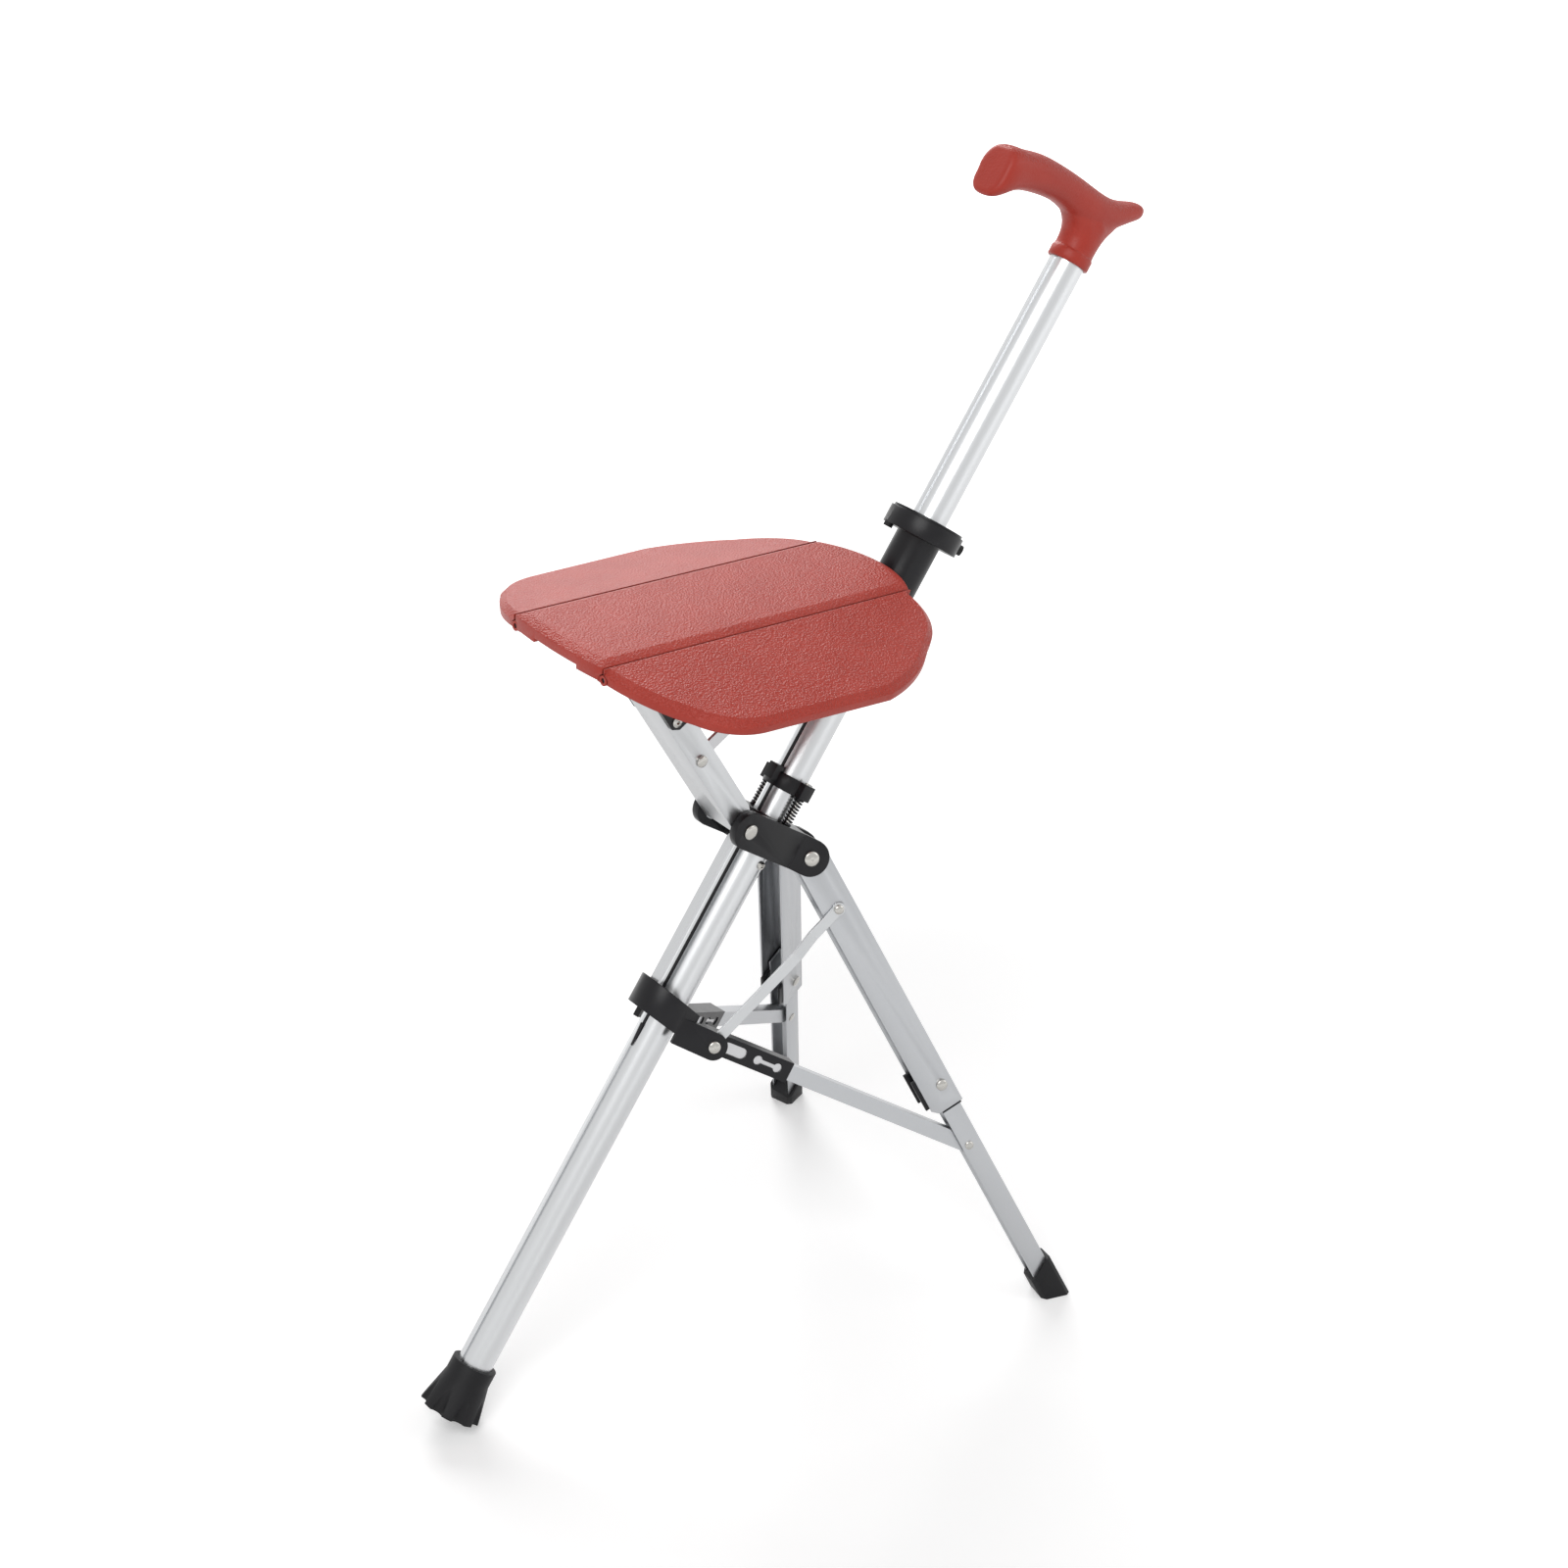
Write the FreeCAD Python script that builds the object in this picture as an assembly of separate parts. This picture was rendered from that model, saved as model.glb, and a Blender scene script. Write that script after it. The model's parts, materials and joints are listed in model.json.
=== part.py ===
import FreeCAD, Part
import math
import os

# Folding stick seat with three legs and a three-panel seat, opened for sitting.
# Z is up, the floor is z = 0 and the object is a mirror image about y = 0.
# The shaft leans rearward (+X) as it rises, and the near side is -Y.

# Shaft
shaft_lean_deg = 37.3
shaft_radius = 11.0
shaft_wall = 1.6
groove_width = 2.6
groove_depth = 1.0
shaft_top = 800.0
running_gap = 0.3
pin_fit = 0.05

# Ferrule on the lower end of the shaft
ferrule_x = -259.31
ferrule_rim_radius = 19.5
ferrule_top_radius = 14.3
ferrule_height = 33.0
ferrule_floor = 8.0
ferrule_lobes = 8
ferrule_lobe_radius = 5.0
washer_thickness = 2.0

# Handle
handle_base = 784.0
handle_ring_radius = 12.8
handle_ring_height = 7.0
neck_radius = 12.2
neck_top = 812.0
# station along the handle, height of its middle, half height, half width, roundness
handle_sections = (
    (-92.5, 801.2, 14.2, 11.0, 0.66),
    (-89.5, 801.9, 15.8, 12.8, 0.7),
    (-79.0, 807.3, 13.3, 13.4, 0.75),
    (-66.0, 812.6, 11.8, 13.2, 0.85),
    (-50.0, 816.0, 10.8, 12.8, 0.9),
    (-32.0, 817.8, 10.2, 12.0, 0.9),
    (-12.0, 817.2, 11.2, 12.4, 0.9),
    (10.0, 820.6, 10.0, 11.2, 0.9),
    (24.0, 828.6, 7.2, 9.0, 0.9),
    (33.0, 833.0, 4.6, 6.2, 0.9),
)

# Hub fixed to the shaft
hub_station = 401.5
hub_half_height = 11.5
collar_radius = 16.0
cheek_thickness = 3.5
arm_cheek_thickness = 5.5
arm_pin_forward = 30.3
arm_pin_radius = 3.4
head_radius = 4.6
head_height = 1.6
hub_screw_station = 384.0

# Legs
leg_azimuth_deg = 24.2
leg_pin_reach = 32.0
leg_pin_radius = 3.4
leg_length = 352.0
leg_wall = 1.2
upper_half_width = 9.0
upper_inner_edge = 10.0
upper_web_edge = 11.2
upper_length = 195.5
liner_thickness = 0.8
lower_depth = 13.0
lower_overlap = 37.5
knee_rivet_from_end = 16.5
knee_rivet_offset = 3.8
rivet_radius = 2.0
rivet_head_radius = 3.6
foot_wall = 2.2
foot_length = 24.0
foot_corner = 2.5
liner_show = 2.0
liner_lip_from_end = 6.0
liner_lip_length = 22.0
liner_lip_proud = 2.5

# Leg link between leg and slider
link_pin_at = 38.8
link_half_width = 3.4
link_eye_radius = 4.2
link_thickness = 1.6
link_step = 4.0

# Slider, the lower collar that rides on the shaft
slider_station = 274.0
slider_front_rise = 12.0
slider_half_height = 9.0
slider_nose_reach = 24.1
slider_band_half_width = 19.5
slider_pin_radius = 2.6
inner_lug_thickness = 1.4

# Leg bar and its guide
bar_pin_at = 227.0
bar_half_height = 5.0
bar_half_width = 4.1
bar_wall = 1.2
bar_length = 146.0
guide_reach = 59.0
guide_wall = 1.0
guide_liner_thickness = 0.5

# Groove strip and push bar, both fixed to the slider
strip_top = 515.0
strip_tail = 22.0
strip_proud = 0.4
strip_width = 2.0
push_bar_top = 394.0
push_bar_forward = 20.0
push_bar_half_width = 3.5
push_bar_thickness = 2.0

# Sprung collar above the hub
spring_collar_station = 435.2
spring_collar_height = 9.5
spring_collar_radius = 14.4
spring_collar_travel = 6.0
spring_side = 15.0
spring_radius = 2.6
spring_wire_radius = 0.5
spring_turns = 8
rod_radius = 1.2

# Seat arm, a channel hinged on the hub
arm_swing_deg = 65.9
arm_half_width = 15.0
arm_wall = 1.5
arm_web_offset = 6.5
arm_depth = 16.5
arm_to_seat_pivot = 147.5
arm_brace_rivet_at = 63.7
arm_block_at = 103.0
arm_block_below = 6.0
arm_block_above = 17.0

# Seat
seat_pitch_deg = 5.0
seat_rear_height = 485.0
seat_rear_x = 60.7
seat_length = 217.0
seat_half_width = 41.0
seat_rear_bulge = 12.0
seat_thickness = 8.0
seat_crown = 2.5
seat_skin = 3.5
seat_rim = 3.0
seat_bevel = 5.5
seat_rib_first = 60.0
seat_rib_step = 50.0
panel_gap = 1.4
wing_hinge_depth = 7.0
wing_knuckle_radius = 3.0
wing_droop_deg = 12.0
wing_width = 75.0
wing_fold_deg = 78.0
hinge_rod_radius = 1.5
seat_pivot_depth = 21.0
fold_tilt_deg = 4.0
bracket_half_width = 13.0
bracket_wall = 1.5
bracket_screw_first = 40.0
bracket_screw_step = 55.0
bracket_screw_side = 8.0
pivot_pin_radius = 2.5
brace_shoe_from_pivot = 138.0

# Sleeve on the shaft behind the seat
sleeve_radius = 14.0
sleeve_bottom = 524.0
sleeve_top = 600.0
sleeve_rear_ease = 2.6
flange_radius = 24.0
flange_thickness = 11.3
flange_plate = 1.6
hinge_ear_half_width = 11.1
button_radius = 3.3
button_end = 27.0
button_travel = 3.0

lean = math.radians(shaft_lean_deg)
azimuth = math.radians(leg_azimuth_deg)
bore_radius = shaft_radius + running_gap
base_height = ferrule_rim_radius * math.sin(lean)


V = FreeCAD.Vector
X_AXIS = V(1, 0, 0)
Y_AXIS = V(0, 1, 0)
Z_AXIS = V(0, 0, 1)


# Frames

def frame(at, axis, degrees):
    return FreeCAD.Placement(V(*at), FreeCAD.Rotation(axis, degrees))


# Shaft frame: z runs up the shaft from the ferrule, x points rearward
SHAFT = frame((ferrule_x, 0, base_height), Y_AXIS, shaft_lean_deg)


def moved(shape, *placements):
    result = shape.copy()
    for placement in reversed(placements):
        result.Placement = placement.multiply(result.Placement)
    return result


def mirrored(shape):
    return shape.mirror(V(0, 0, 0), Y_AXIS)


def save(name, shape):
    moved(shape, SHAFT).exportStep("parts/" + name + ".step")


def save_pair(name, far_shape):
    save("far_" + name, far_shape)
    save("near_" + name, mirrored(far_shape))


def group(shapes):
    return Part.makeCompound(shapes)


def both_sides(shape):
    return group([shape, mirrored(shape)])


# Basic solids

def block(x0, x1, y0, y1, z0, z1):
    return Part.makeBox(x1 - x0, y1 - y0, z1 - z0, V(x0, y0, z0))


def upright(radius, z0, z1, x=0.0, y=0.0):
    return Part.makeCylinder(radius, z1 - z0, V(x, y, z0))


def crosswise(radius, y0, y1, x, z):
    return Part.makeCylinder(radius, y1 - y0, V(x, y0, z), Y_AXIS)


def rounded_bar(x0, z0, x1, z1, radius, y0, y1):
    # Flat bar between two centres in the xz plane, with round ends
    length = math.hypot(x1 - x0, z1 - z0)
    angle = math.degrees(math.atan2(z1 - z0, x1 - x0))
    bar = block(0, length, y0, y1, -radius, radius)
    bar = bar.fuse([crosswise(radius, y0, y1, 0, 0), crosswise(radius, y0, y1, length, 0)])
    return moved(bar.removeSplitter(), frame((x0, 0, z0), Y_AXIS, -angle))


def side_profile(points, y0, y1):
    # Polygon in the xz plane, extruded along y
    outline = [V(x, y0, z) for x, z in points]
    face = Part.Face(Part.makePolygon(outline + outline[:1]))
    return face.extrude(V(0, y1 - y0, 0))


def domed_head(radius, height, y, x, z, outward=1):
    # Round rivet or pin head with a small chamfered dome
    base = crosswise(radius, 0, height * 0.55, 0, 0)
    dome = Part.makeCone(radius, radius * 0.55, height * 0.45, V(0, height * 0.55, 0), Y_AXIS)
    head = base.fuse(dome)
    if outward < 0:
        head = mirrored(head)
    head.translate(V(x, y, z))
    return head


def through_pin(radius, half_span, x, z, head=head_radius):
    # Pin across the middle plane with a domed head on each end
    shank = crosswise(radius, -half_span, half_span, x, z)
    heads = [domed_head(head, head_height, side * half_span, x, z, side) for side in (1, -1)]
    return shank.fuse(heads).removeSplitter()


# Fold geometry in the shaft frame

def floor_swing():
    # Swing of a leg from the shaft line that puts its tip on the floor
    drop = base_height + hub_station * math.cos(lean)
    drop -= leg_pin_reach * math.cos(azimuth) * math.sin(lean)
    across = math.cos(azimuth) * math.sin(lean)
    reach = math.hypot(math.cos(lean), across)
    return math.atan2(across, math.cos(lean)) + math.acos(drop / (leg_length * reach))


leg_swing = floor_swing()
leg_swing_deg = math.degrees(leg_swing)


def on_leg(distance, swing=leg_swing):
    # Point on the leg line, as radius from the shaft axis and height
    radius = leg_pin_reach + distance * math.sin(swing)
    return radius, hub_station - distance * math.cos(swing)


link_top = on_leg(link_pin_at)
slider_pin = (leg_pin_reach, slider_station)
link_length = math.dist(link_top, slider_pin)
slider_travel = link_length + slider_station - on_leg(link_pin_at, 0.0)[1]
bar_pin = on_leg(bar_pin_at)
guide_angle_deg = math.degrees(math.atan2(bar_pin[1] - slider_station, bar_pin[0] - leg_pin_reach))
bar_span = math.dist(bar_pin, slider_pin)
bar_travel = bar_span - math.dist(on_leg(bar_pin_at, 0.0), (leg_pin_reach, slider_station - slider_travel))

# The far leg's plane passes through the shaft axis: local x runs outward, y away from the near leg
LEG_PLANE = frame((0, 0, 0), Z_AXIS, leg_azimuth_deg)
LEG = LEG_PLANE.multiply(frame((leg_pin_reach, 0, hub_station), Y_AXIS, -leg_swing_deg))
GUIDE = LEG_PLANE.multiply(frame((leg_pin_reach, 0, slider_station), Y_AXIS, -guide_angle_deg))

arm_pin_x = -arm_pin_forward
ARM = frame((arm_pin_x, 0, hub_station), Y_AXIS, -arm_swing_deg)

# Seat frame: origin on the top at the rear end of the hinge lines, x rearward, z up from the top
seat_turn_deg = shaft_lean_deg - seat_pitch_deg
seat_dx = seat_rear_x - ferrule_x
seat_dz = seat_rear_height - base_height
seat_origin_x = seat_dx * math.cos(lean) - seat_dz * math.sin(lean)
seat_origin_z = seat_dx * math.sin(lean) + seat_dz * math.cos(lean)
SEAT = frame((seat_origin_x, 0, seat_origin_z), Y_AXIS, -seat_turn_deg)


def in_seat(x, z):
    # A shaft-frame point expressed in the seat frame
    point = SEAT.inverse().multVec(V(x, 0, z))
    return point.x, point.z


arm_swing = math.radians(arm_swing_deg)
seat_pivot_x = arm_pin_x - arm_to_seat_pivot * math.sin(arm_swing)
seat_pivot_z = hub_station + arm_to_seat_pivot * math.cos(arm_swing)
strut_angle = math.radians(90.0 - seat_turn_deg + fold_tilt_deg)
seat_strut = (arm_pin_x - seat_pivot_x) / math.sin(strut_angle)
sleeve_pivot_x = arm_pin_x
sleeve_pivot_z = seat_pivot_z + seat_strut * math.cos(strut_angle)
sleeve_travel = hub_station + arm_to_seat_pivot + seat_strut - sleeve_pivot_z
shoe_x = seat_pivot_x + brace_shoe_from_pivot * math.sin(strut_angle)
shoe_z = seat_pivot_z + brace_shoe_from_pivot * math.cos(strut_angle)
brace_foot_x = arm_pin_x - arm_brace_rivet_at * math.sin(arm_swing)
brace_foot_z = hub_station + arm_brace_rivet_at * math.cos(arm_swing)
brace_length = math.hypot(shoe_x - brace_foot_x, shoe_z - brace_foot_z)


# Shaft group

def shaft_tube():
    tube = upright(shaft_radius, ferrule_floor + washer_thickness, shaft_top)
    tube = tube.cut(upright(shaft_radius - shaft_wall, 0, shaft_top + 1))
    half = groove_width / 2
    front = block(-shaft_radius - 1, groove_depth - shaft_radius, -half, half, 0, shaft_top + 1)
    rear = block(shaft_radius - groove_depth, shaft_radius + 1, -half, half, 0, shaft_top + 1)
    return tube.cut([front, rear])


def ferrule():
    low = Part.makeCone(ferrule_rim_radius, ferrule_rim_radius - 0.8, 4.0)
    rise = 0.7 * ferrule_height - 4.0
    middle = Part.makeCone(ferrule_rim_radius - 0.8, ferrule_top_radius, rise, V(0, 0, 4.0))
    top = upright(ferrule_top_radius, 0.7 * ferrule_height, ferrule_height)
    body = low.fuse([middle, top])
    step = 360.0 / ferrule_lobes
    flutes = []
    for index in range(ferrule_lobes):
        turn = frame((0, 0, 0), Z_AXIS, (index + 0.5) * step)
        start = V(ferrule_rim_radius + 2.0, 0, -1.0)
        lean_in = V(-0.11, 0, 1)
        flute = Part.makeCone(ferrule_lobe_radius, 0.5 * ferrule_lobe_radius, ferrule_height, start, lean_in)
        flutes.append(moved(flute, turn))
    body = body.cut(flutes)
    return body.cut(upright(shaft_radius, ferrule_floor, ferrule_height + 1))


def ferrule_washer():
    return upright(shaft_radius, ferrule_floor, ferrule_floor + washer_thickness)


def handle_section(station, middle, half_height, half_width, roundness):
    count = 12
    points = []
    for index in range(count):
        angle = 2 * math.pi * index / count
        across = math.copysign(abs(math.cos(angle)) ** roundness, math.cos(angle))
        upward = math.copysign(abs(math.sin(angle)) ** roundness, math.sin(angle))
        points.append(V(station, half_width * across, middle + half_height * upward))
    curve = Part.BSplineCurve()
    curve.interpolate(points, PeriodicFlag=True)
    return Part.Wire(curve.toShape())


def handle():
    grip = Part.makeLoft([handle_section(*row) for row in handle_sections], True, False)
    ring = upright(handle_ring_radius, handle_base, handle_base + handle_ring_height)
    neck = upright(neck_radius, handle_base, neck_top)
    body = grip.fuse([ring, neck])
    return body.cut(upright(shaft_radius, 0, shaft_top))


# Hub and what it carries

leg_slot_half = upper_half_width + running_gap
hub_cheek_outer = leg_slot_half + cheek_thickness
arm_cheek_inner = arm_half_width + running_gap
arm_cheek_outer = arm_cheek_inner + arm_cheek_thickness
hub_low = hub_station - hub_half_height
hub_high = hub_station + hub_half_height
leg_slot_start = leg_pin_reach - upper_inner_edge - 0.4


def strip_slot(low, high, gap):
    half = strip_width / 2 + gap
    return block(-shaft_radius - strip_proud - gap, 0, -half, half, low, high)


def hub_rear_half():
    inner = -leg_slot_half - cheek_thickness - 2.0
    span = 3 * leg_pin_reach
    body = block(5, leg_pin_reach, inner, hub_cheek_outer, hub_low, hub_high)
    body = body.fuse(crosswise(hub_half_height, inner, hub_cheek_outer, leg_pin_reach, hub_station))
    body = body.cut(block(leg_slot_start, span, -leg_slot_half, leg_slot_half, hub_low - 1, hub_high + 1))
    return moved(body, LEG_PLANE).common(block(0, span, 0, span, hub_low - 1, hub_high + 1))


def hub_front_half():
    plate = block(arm_pin_x, 14, arm_cheek_inner, arm_cheek_outer, hub_low, hub_high)
    boss = crosswise(hub_half_height, arm_cheek_inner, arm_cheek_outer, arm_pin_x, hub_station)
    side = block(-12, 14, 8, arm_cheek_inner, hub_low, hub_high)
    return plate.fuse([boss, side])


def hub():
    half = hub_front_half().fuse(hub_rear_half())
    body = upright(collar_radius, hub_low, hub_high).fuse([half, mirrored(half)])
    bore = upright(shaft_radius, hub_low - 1, hub_high + 1)
    body = body.cut([bore, strip_slot(hub_low - 1, hub_high + 1, running_gap)])
    rods = both_sides(upright(rod_radius, hub_high - 8, hub_high + 1, 0, spring_side))
    return body.cut([arm_pin(), leg_pins(), rods]).removeSplitter()


def arm_pin():
    return through_pin(arm_pin_radius, arm_cheek_outer, arm_pin_x, hub_station)


def leg_pins():
    inner = -leg_slot_half - cheek_thickness + 0.6
    pin = crosswise(leg_pin_radius, inner, hub_cheek_outer, leg_pin_reach, hub_station)
    pin = pin.fuse(domed_head(head_radius, head_height, hub_cheek_outer, leg_pin_reach, hub_station))
    return both_sides(moved(pin.removeSplitter(), LEG_PLANE))


def hub_screws():
    screw = domed_head(2.6, 2.0, shaft_radius - 0.2, 2.0, hub_screw_station)
    screw = screw.cut(upright(shaft_radius, hub_screw_station - 5, hub_screw_station + 5))
    socket = crosswise(1.1, shaft_radius + 0.9, shaft_radius + 3, 2.0, hub_screw_station)
    return both_sides(screw.cut(socket))


def spring_rods():
    top = spring_collar_station + spring_collar_height / 2 + 1.0
    return both_sides(upright(rod_radius, hub_high - 8, top, 0, spring_side))


def tangent_arc(start, tangent, end):
    # Arc that leaves start along tangent and ends at end
    chord = end.sub(start)
    side = chord.sub(V(tangent).multiply(chord.dot(tangent)))
    radius = chord.dot(chord) / (2 * side.Length)
    centre = start.add(V(side).normalize().multiply(radius))
    middle = start.add(end).multiply(0.5).sub(centre).normalize().multiply(radius)
    return Part.Arc(start, centre.add(middle), end).toShape()


def biarc(start, tangent, end, end_tangent):
    gap = end.sub(start)
    total = tangent.add(end_tangent)
    spread = 2 * (1 - tangent.dot(end_tangent))
    along = gap.dot(total)
    reach = (math.sqrt(along * along + spread * gap.dot(gap)) - along) / spread
    first = start.add(V(tangent).multiply(reach))
    second = end.sub(V(end_tangent).multiply(reach))
    joint = first.add(second).multiply(0.5)
    return [tangent_arc(start, tangent, joint), tangent_arc(joint, joint.sub(first).normalize(), end)]


def helix_point(turns, low, pitch):
    angle = 2 * math.pi * turns
    across = spring_side + spring_radius * math.sin(angle)
    return V(spring_radius * math.cos(angle), across, low + pitch * turns)


def helix_tangent(turns, pitch):
    angle = 2 * math.pi * turns
    rise = pitch / (2 * math.pi)
    return V(-spring_radius * math.sin(angle), spring_radius * math.cos(angle), rise).normalize()


def compression_spring():
    low = hub_high + spring_wire_radius + 0.1
    high = spring_collar_station - spring_collar_height / 2 - spring_wire_radius - 0.1
    pitch = (high - low) / spring_turns
    edges = []
    for quarter in range(4 * spring_turns):
        here = quarter / 4
        there = (quarter + 1) / 4
        ends = helix_point(here, low, pitch), helix_point(there, low, pitch)
        edges += biarc(ends[0], helix_tangent(here, pitch), ends[1], helix_tangent(there, pitch))
    shell = Part.BRepOffsetAPI.MakePipeShell(Part.Wire(edges))
    circle = Part.Circle(helix_point(0, low, pitch), helix_tangent(0, pitch), spring_wire_radius)
    shell.add(Part.Wire(circle.toShape()))
    shell.build()
    shell.makeSolid()
    return shell.shape()


def spring_self_gap():
    low = hub_high + spring_wire_radius + 0.1
    high = spring_collar_station - spring_collar_height / 2 - spring_wire_radius - 0.1
    pitch = (high - low) / spring_turns
    points = [helix_point(step / 24, low, pitch) for step in range(24 * spring_turns + 1)]
    least = 100.0
    for index, point in enumerate(points):
        for other in points[index + 12:]:
            least = min(least, point.distanceToPoint(other))
    return least - 2 * spring_wire_radius


def spring_collar():
    low = spring_collar_station - spring_collar_height / 2
    high = spring_collar_station + spring_collar_height / 2
    ear = block(-4.5, 4.5, 11, spring_side + 3.6, low, high)
    tab = block(-spring_collar_radius - 4, -12, -3.5, 3.5, low + 3, high + 3)
    body = upright(spring_collar_radius, low, high).fuse([ear, mirrored(ear), tab])
    rods = both_sides(upright(rod_radius + pin_fit, low - 1, high + 1, 0, spring_side))
    bore = upright(bore_radius, low - 1, high + 4)
    return body.cut([bore, strip_slot(low - 1, high + 4, running_gap), rods]).removeSplitter()


# Slider group

link_inner = upper_half_width + running_gap
slider_link_inner = link_inner + link_step
slider_cheek_inner = slider_link_inner + link_thickness + running_gap
slider_cheek_outer = slider_cheek_inner + cheek_thickness
slider_pin_x, slider_pin_z = slider_pin
guide_half_width = bar_half_width + 0.1 + guide_liner_thickness + guide_wall
guide_half_height = bar_half_height + 0.1 + guide_liner_thickness + guide_wall
lug_inner = guide_half_width + running_gap
lug_outer = lug_inner + inner_lug_thickness
cheek_end_radius = slider_half_height - 0.5


def slider_front():
    nose_x = slider_band_half_width - slider_nose_reach
    front = slider_station + slider_front_rise
    low = slider_station - 20
    high = slider_station + 40
    inner = slider_band_half_width - cheek_thickness
    band = upright(slider_band_half_width, low, high, nose_x)
    band = band.fuse(block(nose_x, 9, -slider_band_half_width, slider_band_half_width, low, high))
    hollow = upright(inner, low - 1, high + 1, nose_x)
    hollow = hollow.fuse(block(nose_x, 10, -inner, inner, low - 1, high + 1))
    collar = upright(collar_radius - 1, low, high)
    ribs = block(-4, 9, -inner - 1, inner + 1, low, high)
    bridge = block(-slider_nose_reach + 2, -12, -4.5, 4.5, low, high)
    body = band.cut(hollow).fuse([collar, ribs, bridge])
    profile = side_profile((
        (-slider_nose_reach - 2, front - slider_half_height - 0.5),
        (-slider_nose_reach - 2, front + slider_half_height + 0.5),
        (26, slider_station + cheek_end_radius),
        (26, slider_station - cheek_end_radius),
    ), -40, 40)
    return body.common(profile)


def slider_rear_half():
    low = slider_station - cheek_end_radius
    high = slider_station + cheek_end_radius
    cheek = block(6, slider_pin_x, slider_cheek_inner, slider_cheek_outer, low, high)
    end = crosswise(cheek_end_radius, slider_cheek_inner, slider_cheek_outer, slider_pin_x, slider_pin_z)
    cheek = cheek.fuse(end)
    lug = rounded_bar(12, slider_pin_z, slider_pin_x, slider_pin_z, 5.0, lug_inner, lug_outer)
    return moved(cheek.fuse([lug, mirrored(lug)]), LEG_PLANE)


def slider():
    half = slider_rear_half()
    body = slider_front().fuse([half, mirrored(half)])
    low = slider_station - 40
    high = slider_station + 60
    body = body.cut([upright(bore_radius, low, high), strip_slot(low, high, 0.0), push_bar(), slider_pins()])
    return body.removeSplitter()


def slider_pins():
    radius = slider_pin_radius
    outer = crosswise(radius, slider_link_inner, slider_cheek_outer, slider_pin_x, slider_pin_z)
    head = domed_head(head_radius - 0.8, head_height, slider_cheek_outer, slider_pin_x, slider_pin_z)
    inner = crosswise(radius, bar_half_width + 0.2, lug_outer, slider_pin_x, slider_pin_z)
    trio = group([outer.fuse(head).removeSplitter(), inner, mirrored(inner)])
    trio = moved(trio, LEG_PLANE)
    return group(trio.Solids + mirrored(trio).Solids)


def groove_strip():
    inner = groove_depth - shaft_radius - 0.1
    outer = -shaft_radius - strip_proud
    low = slider_station - 7
    strip = block(outer, inner, -strip_width / 2, strip_width / 2, low, strip_top)
    wedge = ((outer - 1.2, low), (inner, low), (outer, low - 15))
    tail = side_profile(wedge, -strip_width / 2, strip_width / 2)
    return strip.fuse(tail).removeSplitter()


def push_bar():
    half = push_bar_thickness / 2
    low = slider_station + 3
    bar = block(
        -push_bar_forward - half, -push_bar_forward + half,
        -push_bar_half_width, push_bar_half_width, low, push_bar_top - push_bar_half_width,
    )
    centre = V(-push_bar_forward - half, 0, push_bar_top - push_bar_half_width)
    tip = Part.makeCylinder(push_bar_half_width, push_bar_thickness, centre, X_AXIS)
    return bar.fuse(tip).removeSplitter()


# Legs, modelled on the far side: local x across the channel away from the shaft, z up the leg

def leg_upper():
    web = upper_web_edge
    outer = block(-upper_inner_edge, web, -upper_half_width, upper_half_width, -upper_length, 0)
    outer = outer.fuse(crosswise(upper_inner_edge, -upper_half_width, upper_half_width, 0, 0))
    inside = upper_half_width - leg_wall
    hollow = block(-20, web - leg_wall, -inside, inside, -upper_length - 1, 20)
    top_gap = block(0, 20, -inside, inside, 1, 20)
    square_top = block(0, 20, -20, 20, -upper_inner_edge * 0.35, 20)
    square_top = square_top.cut(crosswise(upper_inner_edge, -20, 20, 0, 0))
    corner = 5.0
    trim = side_profile((
        (-upper_inner_edge - 1, -upper_length - 1),
        (corner - upper_inner_edge, -upper_length - 1),
        (-upper_inner_edge - 1, corner - upper_length),
    ), -20, 20)
    pin = crosswise(leg_pin_radius + pin_fit, -20, 20, 0, 0)
    return outer.cut([hollow, top_gap, square_top, trim, pin]).removeSplitter()


lower_half_width = upper_half_width - leg_wall - liner_thickness
lower_web_edge = upper_web_edge - leg_wall - liner_thickness
lower_inner_edge = lower_depth - lower_web_edge
lower_start = upper_length - lower_overlap
knee_rivet_at = upper_length - knee_rivet_from_end


def above_floor(shape, clearance):
    # Keeps what lies above the floor by clearance, for a shape in the leg frame
    span = 2 * leg_length
    space = Part.makeBox(2 * span, 2 * span, 2 * span, V(-span, -span, clearance))
    return shape.common(moved(space, LEG.inverse(), SHAFT.inverse()))


def leg_lower():
    outer = block(
        -lower_inner_edge, lower_web_edge, -lower_half_width, lower_half_width,
        -leg_length - 20, -lower_start,
    )
    inside = lower_half_width - leg_wall
    hollow = block(
        -lower_inner_edge - 1, lower_web_edge - leg_wall, -inside, inside,
        -leg_length - 21, -lower_start + 1,
    )
    return above_floor(outer.cut(hollow), foot_wall + 1)


def knee_liner():
    end = -upper_length - liner_show
    outside = upper_half_width - leg_wall
    inner = -lower_inner_edge
    shell = block(inner, upper_web_edge - leg_wall, -outside, outside, end, -lower_start)
    lip_low = -upper_length + liner_lip_from_end
    lip_edge = -upper_inner_edge - liner_lip_proud
    lip = block(lip_edge, inner, -outside, outside, lip_low, lip_low + liner_lip_length)
    core = block(inner, lower_web_edge, -lower_half_width, lower_half_width, end - 1, 0)
    mouth_half = lower_half_width - leg_wall
    mouth = block(-upper_inner_edge - 5, inner + 1, -mouth_half, mouth_half, end - 1, 0)
    return shell.fuse(lip).cut([core, mouth]).removeSplitter()


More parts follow.
